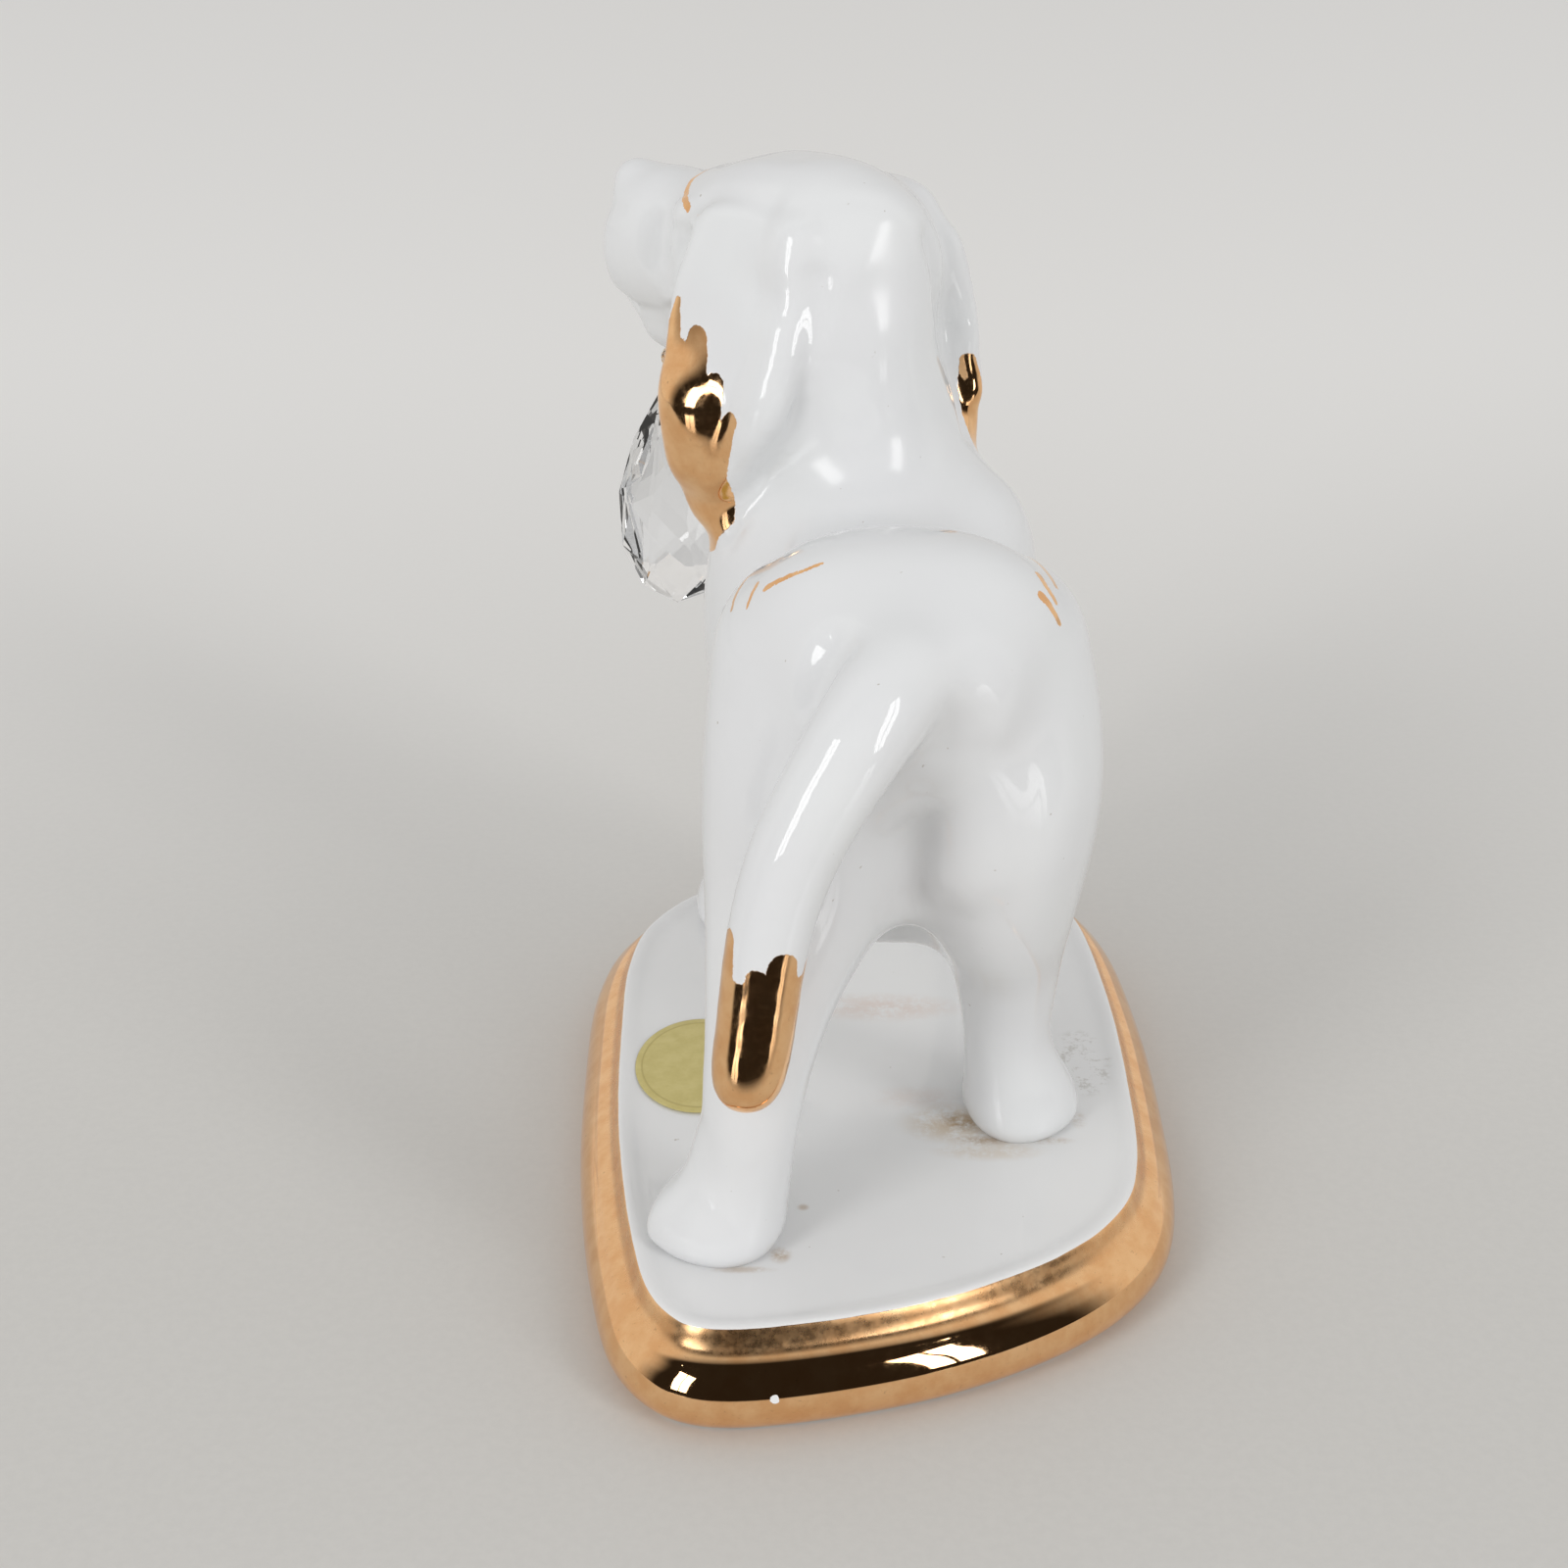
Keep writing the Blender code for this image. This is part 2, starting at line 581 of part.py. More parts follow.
DROP_ACROSS = Vector((math.cos(DROP_TURN), -math.sin(DROP_TURN), 0.0))
DROP_FACING = Vector((math.sin(DROP_TURN), math.cos(DROP_TURN), 0.0))
EYE_MIDDLE = dog(DROP_X, DROP_Y, SKULL_HEIGHT - EYE_BELOW_SKULL)
EYE_PIVOT = EYE_MIDDLE - UPWARD * (EYE_RADIUS * MM)
RING_MIDDLE = EYE_PIVOT + UPWARD * (((EYE_WIRE + RING_WIRE) / 2 + GAP - RING_RADIUS) * MM)
RING_PIVOT = RING_MIDDLE - UPWARD * (RING_RADIUS * MM)
RING_RISE = RING_RADIUS - math.sqrt(RING_RADIUS ** 2 - (DROP_NECK / 2) ** 2)
BORE_MIDDLE = RING_PIVOT + UPWARD * ((RING_WIRE / 2 + RING_RISE + GAP - DROP_BORE / 2) * MM)
DROP_APEX = BORE_MIDDLE + UPWARD * ((DROP_BORE / 2 + DROP_CROWN) * MM)


def shank_ends():
    """The straight part of the eye pin, from the top of its loop up into the jaw."""
    foot = EYE_MIDDLE + UPWARD * (EYE_RADIUS * MM)
    return foot, foot + UPWARD * (SHANK_LENGTH * MM)


def mouth_eyelet(finish):
    """The gilt eye pin in the jaw that the ring hangs from."""
    loop = add_object("mouth_eyelet", torus(EYE_MIDDLE, DROP_FACING, EYE_RADIUS, EYE_WIRE), finish)
    foot, top = shank_ends()
    cut_from(loop, add_object("mouth_eyelet_shank", rod(foot, top, EYE_WIRE / 2 * 0.97), None), "UNION")
    return loop


def jump_ring(finish):
    """The ring that links the eye and the drop. Its origin is where it turns on the eye."""
    return add_object("jump_ring", torus(RING_MIDDLE, DROP_ACROSS, RING_RADIUS, RING_WIRE), finish, EYE_PIVOT)


def drop_outline(sides, scale, lead=0.0):
    """Corners of the drop's outline, pointed at the top, as pairs: across, and down from the apex."""
    widest = DROP_LENGTH * 0.56
    points = []
    for index in range(sides):
        turn = 2 * math.pi * (index + lead) / sides
        wide = math.sin(turn) * math.sin(turn / 2) ** 0.5 * DROP_WIDTH * 0.58
        down = DROP_LENGTH * (1 - math.cos(turn)) / 2
        points.append((wide * scale, (down - widest) * scale + widest))
    return points


def crystal_drop(finish):
    """The faceted drop: a thin girdle, then kite facets that rise to a flat table on each face."""
    half = DROP_SIDES // 2
    layers = [
        (drop_outline(DROP_SIDES, 1.0), 0.06),
        (drop_outline(half, 0.70, 0.5), 0.36),
        (drop_outline(half, 0.36), 0.5),
    ]
    bm = bmesh.new()
    for corners, out in layers:
        for wide, down in corners:
            for face in (-1.0, 1.0):
                bm.verts.new(DROP_APEX + DROP_ACROSS * (wide * MM) - UPWARD * (down * MM)
                             + DROP_FACING * (face * out * DROP_THICKNESS * MM))
    for wide in (-1.6, 1.6):
        for face in (-0.06, 0.06):
            bm.verts.new(DROP_APEX + DROP_ACROSS * (wide * MM) + DROP_FACING * (face * DROP_THICKNESS * MM))
    hull = bmesh.ops.convex_hull(bm, input=bm.verts)
    loose = [v for v in hull["geom_interior"] if isinstance(v, bmesh.types.BMVert)]
    bmesh.ops.delete(bm, geom=loose, context="VERTS")
    bmesh.ops.dissolve_limit(bm, angle_limit=math.radians(1.0), verts=bm.verts, edges=bm.edges)
    made = add_object("crystal_drop", bm, finish, RING_PIVOT)
    made.data.shade_flat()
    reach = DROP_FACING * (DROP_THICKNESS * MM)
    bore = rod(BORE_MIDDLE - reach, BORE_MIDDLE + reach, DROP_BORE / 2, 16)
    cut_from(made, add_object("crystal_bore", bore, None))
    return made


def foil_sticker(finish):
    """The oval foil sticker on the deck."""
    bm = bmesh.new()
    base = dog(STICKER_X, STICKER_Y, GAP + STICKER_THICKNESS / 2)
    bmesh.ops.create_cone(bm, cap_ends=True, segments=36, radius1=0.5, radius2=0.5, depth=1.0)
    bmesh.ops.scale(bm, verts=bm.verts, vec=Vector((STICKER_WIDTH, STICKER_LENGTH, STICKER_THICKNESS)) * MM)
    bmesh.ops.translate(bm, verts=bm.verts, vec=base)
    return add_object("foil_sticker", bm, finish)


def build():
    """Make every piece."""
    for old in list(bpy.data.objects):
        bpy.data.objects.remove(old, do_unlink=True)
    glaze = material("glazed_porcelain", (0.80, 0.80, 0.79), 0.08)
    gilt = material("gilt_brass", (0.86, 0.58, 0.30), 0.15, metallic=1.0)
    crystal = material("lead_crystal", (0.97, 0.98, 1.0), 0.0, transmission=1.0)
    foil = material("gold_foil_paper", (0.74, 0.62, 0.22), 0.35, metallic=0.6)

    plinth(glaze)
    joined("torso", (trunk(), neck()), glaze)
    head = joined("head", head_bodies(), glaze)
    trimmed_by(head, (neck(GAP),), "neck")
    low, high = shank_ends()
    bore = rod(low - UPWARD * (2 * MM), high + UPWARD * (GAP * MM), EYE_WIRE / 2 + GAP)
    cut_from(head, add_object("head_bore", bore, None))
    ear("ear_left", ear_body(*LEFT_EAR), glaze)
    ear("ear_right", ear_body(*RIGHT_EAR), glaze)
    left = hind_left_stations()
    left_paw = paw(left[-1], (-2.0, 1.2), HIND_PAW_WIDTH, HIND_PAW_LENGTH, math.radians(-12.0))
    leg("leg_hind_left", left, left_paw, (trunk(GAP),), glaze)
    right = hind_right_stations()
    right_paw = paw(right[-1], (1.0, 1.1), HIND_PAW_WIDTH - 1.4, HIND_PAW_LENGTH, math.radians(6.0))
    leg("leg_hind_right", right, right_paw, (trunk(GAP),), glaze)
    for name, side, step_x in (("leg_front_left", -1.0, -1.3), ("leg_front_right", 1.0, -0.7)):
        stations = foreleg_stations(side)
        foot = paw(stations[-1], (step_x, 3.0), FORE_PAW_WIDTH, FORE_PAW_LENGTH, 0.0)
        foreleg = leg(name, stations, foot, (trunk(GAP), neck(GAP)), glaze)
        if side < 0:
            trimmed_by(foreleg, (ear_body(*LEFT_EAR, grow=GAP),), "ear")
    tail = add_object("tail", loft(tail_stations(), ACROSS, TAIL_ROUND, TAIL_TIP_WIDTH / 2), glaze)
    trimmed_by(tail, (trunk(GAP),), "torso")
    mouth_eyelet(gilt)
    jump_ring(gilt)
    crystal_drop(crystal)
    foil_sticker(foil)


build()
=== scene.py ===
import math

import bmesh
import bpy
import numpy as np
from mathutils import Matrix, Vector
from mathutils.bvhtree import BVHTree


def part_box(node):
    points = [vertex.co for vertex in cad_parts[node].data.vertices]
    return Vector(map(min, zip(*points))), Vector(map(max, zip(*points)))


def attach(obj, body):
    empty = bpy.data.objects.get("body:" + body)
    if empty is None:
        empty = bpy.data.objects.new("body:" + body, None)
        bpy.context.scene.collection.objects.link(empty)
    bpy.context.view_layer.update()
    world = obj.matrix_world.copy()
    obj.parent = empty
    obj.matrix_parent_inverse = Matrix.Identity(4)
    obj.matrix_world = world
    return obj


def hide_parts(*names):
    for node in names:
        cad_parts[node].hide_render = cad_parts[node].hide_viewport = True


# The looks of a porcelain hound on a gilded plinth, dressed round its fixed CAD frame.
# Metres, +Z up, the dog faces +Y. Sizes that are written in millimetres are multiplied by MM.
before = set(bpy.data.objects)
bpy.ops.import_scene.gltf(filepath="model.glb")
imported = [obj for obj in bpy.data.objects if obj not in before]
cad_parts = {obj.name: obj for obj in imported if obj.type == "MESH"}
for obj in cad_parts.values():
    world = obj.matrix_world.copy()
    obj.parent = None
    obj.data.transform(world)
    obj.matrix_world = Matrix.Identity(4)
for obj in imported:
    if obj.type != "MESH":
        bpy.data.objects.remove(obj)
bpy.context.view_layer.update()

MM = 0.001
GAP = 0.3 * MM

CASTINGS = ["torso", "head", "ear_left", "ear_right", "leg_hind_left", "leg_hind_right",
            "leg_front_left", "leg_front_right", "tail"]

# A distance in millimetres that stands for out of every stroke's and mask's reach.
FAR = 9.0

# The deck's height, from the label that lies on it.
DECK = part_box("foil_sticker")[0].z - GAP

# The head's own axes and the middle of the skull.
HEAD_TURN = math.radians(50.0)
HEAD_FORWARD = np.array((-math.sin(HEAD_TURN), math.cos(HEAD_TURN), 0.0))
HEAD_RIGHT = np.array((math.cos(HEAD_TURN), math.sin(HEAD_TURN), 0.0))
SKULL = np.array((-6.5, 31.0, 115.5)) * MM

# Camera: the photograph's viewing angle.
CAMERA_TARGET = Vector((-11.93, -12.9, 62.0)) * MM
CAMERA_ELEVATION = math.radians(26.0)
CAMERA_DISTANCE = 370.0 * MM
CAMERA_LENS = 67.5
SENSOR = 36.0

# How far each round of smoothing moves a vertex towards its neighbours' average.
RELAX_STEP = 0.5


def linked(name, data):
    """A new object in the scene from a mesh, a lamp or a camera."""
    made = bpy.data.objects.new(name, data)
    bpy.context.scene.collection.objects.link(made)
    return made


def built(name, bm):
    """A new object in the scene from the faces built so far."""
    mesh = bpy.data.meshes.new(name)
    bm.to_mesh(mesh)
    bm.free()
    return linked(name, mesh)


def discard(piece):
    """Take a piece out of the scene."""
    mesh = piece.data
    bpy.data.objects.remove(piece)
    bpy.data.meshes.remove(mesh)


def apply_modifiers(piece):
    """Turn a piece's modifiers into its mesh."""
    graph = bpy.context.evaluated_depsgraph_get()
    mesh = bpy.data.meshes.new_from_object(piece.evaluated_get(graph))
    piece.modifiers.clear()
    old = piece.data
    piece.data = mesh
    bpy.data.meshes.remove(old)


def remesh(piece, voxel):
    """Rebuild a piece as one closed skin of even quads."""
    modifier = piece.modifiers.new("remesh", "REMESH")
    modifier.mode = "VOXEL"
    modifier.voxel_size = voxel
    modifier.use_smooth_shade = True
    apply_modifiers(piece)


def points_of(piece):
    """A piece's vertices as rows of numbers."""
    rows = np.empty(len(piece.data.vertices) * 3)
    piece.data.vertices.foreach_get("co", rows)
    return rows.reshape(-1, 3)


def put_points(piece, rows):
    """Move a piece's vertices to the given rows."""
    piece.data.vertices.foreach_set("co", rows.ravel())
    piece.data.update()


def normals_of(piece):
    """A piece's vertex normals."""
    rows = np.empty(len(piece.data.vertices) * 3)
    piece.data.vertex_normals.foreach_get("vector", rows)
    return rows.reshape(-1, 3)


def edges_of(piece):
    """A piece's edges as pairs of vertex numbers."""
    pairs = np.empty(len(piece.data.edges) * 2, dtype=np.int64)
    piece.data.edges.foreach_get("vertices", pairs)
    return pairs.reshape(-1, 2)


def inflate(piece, distance):
    """Move every vertex out along its normal."""
    put_points(piece, points_of(piece) + normals_of(piece) * distance)


def neighbours(piece):
    """Every vertex's neighbours in one row, with where each vertex's share starts, and how many it has."""
    pairs = edges_of(piece)
    first = np.concatenate((pairs[:, 0], pairs[:, 1]))
    second = np.concatenate((pairs[:, 1], pairs[:, 0]))
    order = np.argsort(first, kind="stable")
    counts = np.bincount(first, minlength=len(piece.data.vertices))
    starts = np.concatenate(([0], np.cumsum(counts)[:-1]))
    return second[order], starts, counts[:, None].astype(float)


def averaged(rows, ring):
    """Each vertex's neighbours' average."""
    others, starts, counts = ring
    return np.add.reduceat(rows[others], starts) / counts


def relax(piece, rounds, weight=None, keep=0.0):
    """Smooth a piece. weight says how much each vertex may move; keep gives back lost volume."""
    rows = points_of(piece)
    ring = neighbours(piece)
    share = RELAX_STEP if weight is None else (RELAX_STEP * weight)[:, None]
    for _ in range(rounds):
        rows += (averaged(rows, ring) - rows) * share
        if keep:
            rows -= (averaged(rows, ring) - rows) * (share * keep)
    put_points(piece, rows)


def falloff(distance, reach):
    """1 in the middle, 0 past the reach, smooth between."""
    inside = np.clip(1.0 - (distance / reach) ** 2, 0.0, 1.0)
    return inside ** 2


def smooth_step(values):
    """0 up to 0, 1 from 1 on, smooth between."""
    inside = np.clip(values, 0.0, 1.0)
    return inside * inside * (3.0 - 2.0 * inside)


def gathered(name, nodes):
    """One loose copy of the given CAD nodes' surfaces."""
    bm = bmesh.new()
    for node in nodes:
        bm.from_mesh(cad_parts[node].data)
    return built(name, bm)


def joined(name, pieces):
    """One object from several, which go."""
    bm = bmesh.new()
    for piece in pieces:
        bm.from_mesh(piece.data)
        discard(piece)
    return built(name, bm)


def in_head(rows):
    """Places in the head's own directions: to its right, forward, and up from the skull's middle."""
    offset = rows - SKULL
    return offset @ HEAD_RIGHT, offset @ HEAD_FORWARD, offset[:, 2]


def closed_up(piece, reach, voxel):
    """Fill every groove narrower than twice the reach, which leaves fillets of that radius."""
    half = reach / 2
    for move in (half, half, -half, -half):
        inflate(piece, move)
        remesh(piece, voxel)
        relax(piece, 2)


def ellipsoid(name, middle, radii):
    """A closed egg shape, in millimetres."""
    bm = bmesh.new()
    bmesh.ops.create_icosphere(bm, subdivisions=4, radius=MM)
    bmesh.ops.scale(bm, verts=bm.verts, vec=radii)
    bmesh.ops.translate(bm, verts=bm.verts, vec=Vector(middle) * MM)
    return built(name, bm)


# Fillets' radii between the castings, the glaze's thickness, and the mesh sizes that each step works at.
BODY_FILLET = 4.6 * MM
TAIL_FILLET = 3.0 * MM
SEAM_FILLET = 1.7 * MM
SKIN = 0.25 * MM
CORE_VOXEL = 0.9 * MM
TAIL_VOXEL = 0.8 * MM
FACE_VOXEL = 0.7 * MM
SKIN_VOXEL = 0.55 * MM
# Smoothing gives back the volume it takes, and slightly more, so that thin forms stay.
KEEP = 1.04

# Soft masses that fill the casting out under the glaze: middle and radii in millimetres.
MASSES = [
    ("nape", (-5.0, 25.5, 109.0), (12.5, 11.0, 14.0)),
    ("neck_back", (-4.0, 25.0, 97.0), (12.5, 9.5, 15.0)),
    ("hip_left", (-9.0, -18.0, 82.0), (11.8, 15.0, 12.0)),
    ("hip_right", (13.6, -17.0, 82.0), (11.8, 15.0, 12.0)),
    ("rump_end", (1.6, -32.5, 85.0), (13.0, 9.5, 10.2)),
    ("buttock_left", (-7.0, -30.0, 74.0), (10.5, 8.5, 13.0)),
    ("buttock_right", (13.0, -26.0, 74.0), (11.5, 9.5, 14.0)),
]

# Hollows pressed into the skin: places along the stroke, reach and depth in millimetres. A negative depth
# raises a ridge.
BODY_STROKES = [
    ([(-6.5, -38.0, 92.0), (-9.0, -40.0, 86.0)], 4.5, 1.4),
    ([(4.2, -38.0, 72.0), (3.4, -30.0, 58.0)], 4.5, 0.8),
    ([(5.0, -35.5, 72.0), (9.0, -35.5, 71.0), (8.0, -33.5, 61.0)], 9.0, -2.1),
    ([(8.4, -41.0, 82.0)], 7.0, 1.0),
    ([(-22.6, -40.0, 26.5)], 6.5, -0.9),
]
# The left ear's lower fold, which is pressed twice.
EAR_FOLD = [(-11.4, 17.3, 98.7), (-15.0, 19.6, 92.0), (-18.5, 19.6, 86.2), (-20.0, 19.7, 83.7)]
EAR_STROKES = [
    ([(-10.9, 19.5, 122.7), (-11.2, 17.6, 116.4), (-12.2, 16.8, 108.9), (-14.0, 17.8, 102.6),
      (-16.5, 19.7, 96.0), (-18.9, 21.6, 89.9), (-20.8, 22.5, 85.4)], 5.0, -1.4),
    ([(-8.2, 17.0, 118.5), (-8.4, 15.4, 106.1), *EAR_FOLD], 3.2, 1.0),
    (EAR_FOLD, 2.6, 1.4),
    ([(-27.6, 35.8, 112.1), (-26.1, 32.4, 117.0), (-24.4, 32.4, 122.3), (-21.1, 29.9, 125.8),
      (-13.8, 24.2, 126.5)], 3.0, 0.7),
    ([(-24.6, 23.4, 101.0), (-24.0, 23.4, 94.0)], 7.5, -2.0),
    ([(6.9, 24.5, 121.5), (7.6, 26.6, 114.3), (9.3, 32.3, 105.4), (10.7, 33.9, 100.0),
      (12.1, 30.1, 94.8)], 3.0, 1.2),
    ([(9.5, 34.0, 118.2), (10.0, 35.0, 111.6), (10.9, 35.5, 105.7), (12.2, 35.2, 98.9)], 3.5, -1.2),
    ([(-2.0, 18.2, 122.8), (-1.9, 15.1, 106.8)], 8.0, 0.9),
]


def head_place(right, forward, up):
    """A place in millimetres from the head's own directions, measured from the skull's middle."""
    spot = SKULL / MM + HEAD_RIGHT * right + HEAD_FORWARD * forward
    return (spot[0], spot[1], spot[2] + up)


def on_head(strokes):
    """Strokes whose places are given in the head's own directions."""
    return [([head_place(*place) for place in places], first, last) for places, first, last in strokes]


def on_both_sides(strokes):
    """Strokes given on the head's right side, on both sides."""
    return on_head([([(side * right, forward, up) for right, forward, up in places], first, last)
                    for side in (-1.0, 1.0) for places, first, last in strokes])


# A groove along each ear's front edge, which sets it off from the cheek and the neck.
EAR_EDGES = on_head([
    ([(14.4, 11.0, 5.0), (15.0, 12.6, -3.0), (15.2, 12.8, -12.0), (15.2, 10.0, -19.5), (15.6, 4.8, -25.5),
      (15.6, -3.5, -31.0)], 2.9, 1.6),
    ([(-13.4, 14.0, 5.0), (-14.4, 15.2, -1.0), (-14.8, 16.2, -9.0), (-14.2, 15.4, -19.0),
      (-13.6, 14.6, -26.0)], 2.6, 0.9),
])
# Eye sockets and lids, cheeks, lips and nostrils, and then the grooves in the middle of nose and skull.
FACE_STROKES = on_both_sides([
    ([(11.4, 14.6, 3.0)], 4.4, 1.0),
    ([(10.6, 11.4, 5.8), (10.2, 14.4, 7.2), (8.4, 17.8, 6.8)], 2.6, -0.9),
    ([(9.2, 21.4, 4.4), (9.4, 21.0, 0.6)], 4.4, 1.2),
    ([(9.6, 16.0, -6.0), (8.6, 22.0, -8.6), (7.2, 28.0, -9.6), (4.2, 33.4, -8.2)], 1.9, 1.4),
    ([(8.2, 30.0, 5.2), (6.0, 33.6, 4.2)], 2.4, 0.5),
    ([(2.1, 36.8, 6.2)], 1.6, 1.2),
]) + on_head([
    ([(0.0, 36.6, 3.6), (0.0, 36.0, -3.0)], 1.4, 0.6),
    ([(0.0, 14.0, 12.0), (0.0, 4.0, 14.0)], 5.0, 0.5),
])

# A paw is measured below this height over the deck, in millimetres.
PAW_HEIGHT = 5.0
# How far each paw's toes are turned, in degrees, and the grooves between them: reach and depth in
# millimetres, and places across the paw in half widths.
TOE_TURNS = {"leg_hind_left": -12.0, "leg_hind_right": 6.0, "leg_front_left": 0.0, "leg_front_right": 0.0}
TOE_REACH = 1.5
TOE_DEPTH = 1.0
TOE_SHARES = (-0.45, 0.0, 0.45)
# The toes' share of the paw, from and to in half lengths and in half widths, their heights over the deck
# in millimetres, and over what share of the length the grooves fade in.
TOES_AHEAD = (0.30, 1.4)
TOES_ACROSS = 1.3
TOES_HEIGHTS = (-0.5, 9.5)
TOES_FADE = 0.25
# How far a paw spreads out where it meets the deck, and up to which height, in millimetres.
PAW_SPREAD = 1.3
PAW_SPREAD_TO = 7.0
# Then how far a hind paw's outer side is drawn out (or in) from heel to toes, in half lengths and
# millimetres, and the height where that ends and how far below it is whole.
FLARE_AHEAD = (-1.0, -0.4, 0.1, 0.6, 1.0)
FLARE_OUT = (2.2, 2.6, -0.4, -2.6, -2.8)
FLARE_SHARES = {"leg_hind_left": 1.0, "leg_hind_right": 0.5}
FLARE_ENDS = 15.0
FLARE_FADE = 7.0


def paw_place(node):
    """A paw's middle and half sizes on the deck, in millimetres, from its CAD leg."""
    rows = points_of(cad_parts[node])
    foot = rows[rows[:, 2] < DECK + PAW_HEIGHT * MM] / MM
    low, high = foot.min(axis=0), foot.max(axis=0)
    return (low + high) / 2, (high - low) / 2


def toe_distance(rows):
    """How far each row lies from the nearest line between two toes, in millimetres, or FAR off the toes."""
    nearest = np.full(len(rows), FAR)
    heights = (rows[:, 2] - DECK) / MM
    low, high = TOES_HEIGHTS
    first, last = TOES_AHEAD
    for node, degrees in TOE_TURNS.items():
        middle, half = paw_place(node)
        turn = math.radians(degrees)
        offset = rows[:, :2] / MM - middle[:2]
        ahead = offset @ np.array((math.sin(turn), math.cos(turn)))
        across = offset @ np.array((math.cos(turn), -math.sin(turn)))
        on_toes = (ahead > half[1] * first) & (ahead < half[1] * last) & (heights > low) & (heights < high)
        on_toes &= np.abs(across) < half[0] * TOES_ACROSS
        fade = smooth_step((ahead / half[1] - first) / TOES_FADE)
        for share in TOE_SHARES:
            distance = np.abs(across - share * half[0] * np.clip(ahead / half[1], 0.5, 1.2))
            nearest = np.where(on_toes, np.minimum(nearest, distance + 3.0 * (1.0 - fade)), nearest)
    return nearest


def round_paw(rows, node, margin):
    """A paw's middle and half sizes, each row's height and place from that middle, and which are near."""
    middle, half = paw_place(node)
    heights = rows[:, 2] / MM - DECK / MM
    offset = rows[:, :2] / MM - middle[:2]
    near = (np.linalg.norm(offset, axis=1) < half[:2].max() + margin) & (heights > -1.5)
    return middle, half, heights, offset, near


def spread_paw(rows, node):
    """Spread a paw's sole out on the deck."""
    _, _, heights, offset, near = round_paw(rows, node, 4.0)
    away = np.maximum(np.linalg.norm(offset, axis=1), 2.0)
    spread = np.where(near, PAW_SPREAD * smooth_step((PAW_SPREAD_TO - heights) / PAW_SPREAD_TO), 0.0)
    rows[:, :2] += offset / away[:, None] * spread[:, None] * MM


def flare_paw(rows, node):
    """Broaden a hind paw's heel on its outer side, and slim its toes there."""
    middle, half, heights, offset, near = round_paw(rows, node, 5.0)
    side = np.clip(offset[:, 0] / half[0], -1.0, 1.0)
    low = smooth_step((FLARE_ENDS - heights) / FLARE_FADE)
    drawn = FLARE_SHARES[node] * side * low * np.interp(offset[:, 1] / half[1], FLARE_AHEAD, FLARE_OUT)
    rows[:, 0] += np.where(near & (side * middle[0] > 0.0), drawn, 0.0) * MM


def low_legs(rows, begins, top):
    """1 on the legs' lower ends, 0 on the deck and from the top height up, in millimetres over the deck."""
    heights = (rows[:, 2] - DECK) / MM
    return smooth_step((heights - 0.8) / begins) * smooth_step((top - heights) / 6.0)


def shape_paws(skin):
    """Give the paws broad soles and soft ankles."""
    rows = points_of(skin)
    for node in TOE_TURNS:
        spread_paw(rows, node)
    put_points(skin, rows)
    first, later = low_legs(rows, 3.0, 22.0), low_legs(rows, 2.0, 25.0)
    relax(skin, 90, weight=first, keep=0.8)
    rows = points_of(skin)
    for node in FLARE_SHARES:
        flare_paw(rows, node)
    put_points(skin, rows)
    relax(skin, 14, weight=later, keep=1.0)


# Where the skull's core ends towards the face, and how far the legs sink into the deck, in millimetres.
CORE_FORWARD = 10.0
LEG_SINK = 1.2


def body_core():
    """Torso, legs, tail and the skull without its face, flowing into one another."""
    skull = gathered("skull_core", ["head"])
    rows = points_of(skull)
    _, forward, _ = in_head(rows)
    rows -= np.maximum(forward - CORE_FORWARD * MM, 0.0)[:, None] * HEAD_FORWARD
    put_points(skull, rows)
    body = gathered("body_core", [node for node in CASTINGS if node.startswith(("torso", "leg"))])
    rows = points_of(body)
    sunk = rows[:, 2] < DECK + 2 * GAP
    rows[sunk, 2] = DECK - LEG_SINK * MM
    put_points(body, rows)
    core = joined("core", [body, skull, *(ellipsoid(*mass) for mass in MASSES)])
    remesh(core, CORE_VOXEL)
    relax(core, 4)
    closed_up(core, BODY_FILLET, CORE_VOXEL)
    relax(core, 60, keep=KEEP)
    core = joined("core", [core, gathered("tail_core", ["tail"])])
    remesh(core, TAIL_VOXEL)
    closed_up(core, TAIL_FILLET, TAIL_VOXEL)
    return core


# The ears hang away from the neck, towards the camera: how far at their fullest, in millimetres, and the
# heights where they leave the skull, hang fullest and end. The front edge leaves it lower down, and the
# ends curl back by a share. Past EAR_FORWARD, from the skull's middle, lies the face.
EAR_FLARES = {"ear_left": np.array((-0.5, -4.8, 0.0)), "ear_right": np.array((1.2, -3.0, 0.0))}
EAR_LEAVES = 124.0
EAR_FRONT_LATER = 11.0
EAR_FULLEST = 100.0
EAR_ENDS = 84.0
EAR_CURL = 0.33
EAR_FORWARD = 24.0


def ear_flare(rows):
    """How much of its flare an ear has at each row. Its front edge leaves the skull lower than its back."""
    _, forward, _ = in_head(rows)
    heights = rows[:, 2] / MM
    leaves = EAR_LEAVES - EAR_FRONT_LATER * smooth_step((forward / MM + 4.0) / 14.0)
    opened = smooth_step((leaves - heights) / (leaves - EAR_FULLEST))
    curled = smooth_step((EAR_FULLEST - heights) / (EAR_FULLEST - EAR_ENDS))
    return opened * (1.0 - EAR_CURL * curled)


def unflared(rows):
    """The rows near each ear, moved back to where they were before the ears were flared."""
    right, forward, _ = in_head(rows)
    share = ear_flare(rows) * (forward < EAR_FORWARD * MM)
    moved = rows.copy()
    for side, node in ((-1.0, "ear_left"), (1.0, "ear_right")):
        near = smooth_step((side * right / MM - 3.0) / 5.0)
        moved -= (share * near)[:, None] * EAR_FLARES[node] * MM
    return moved


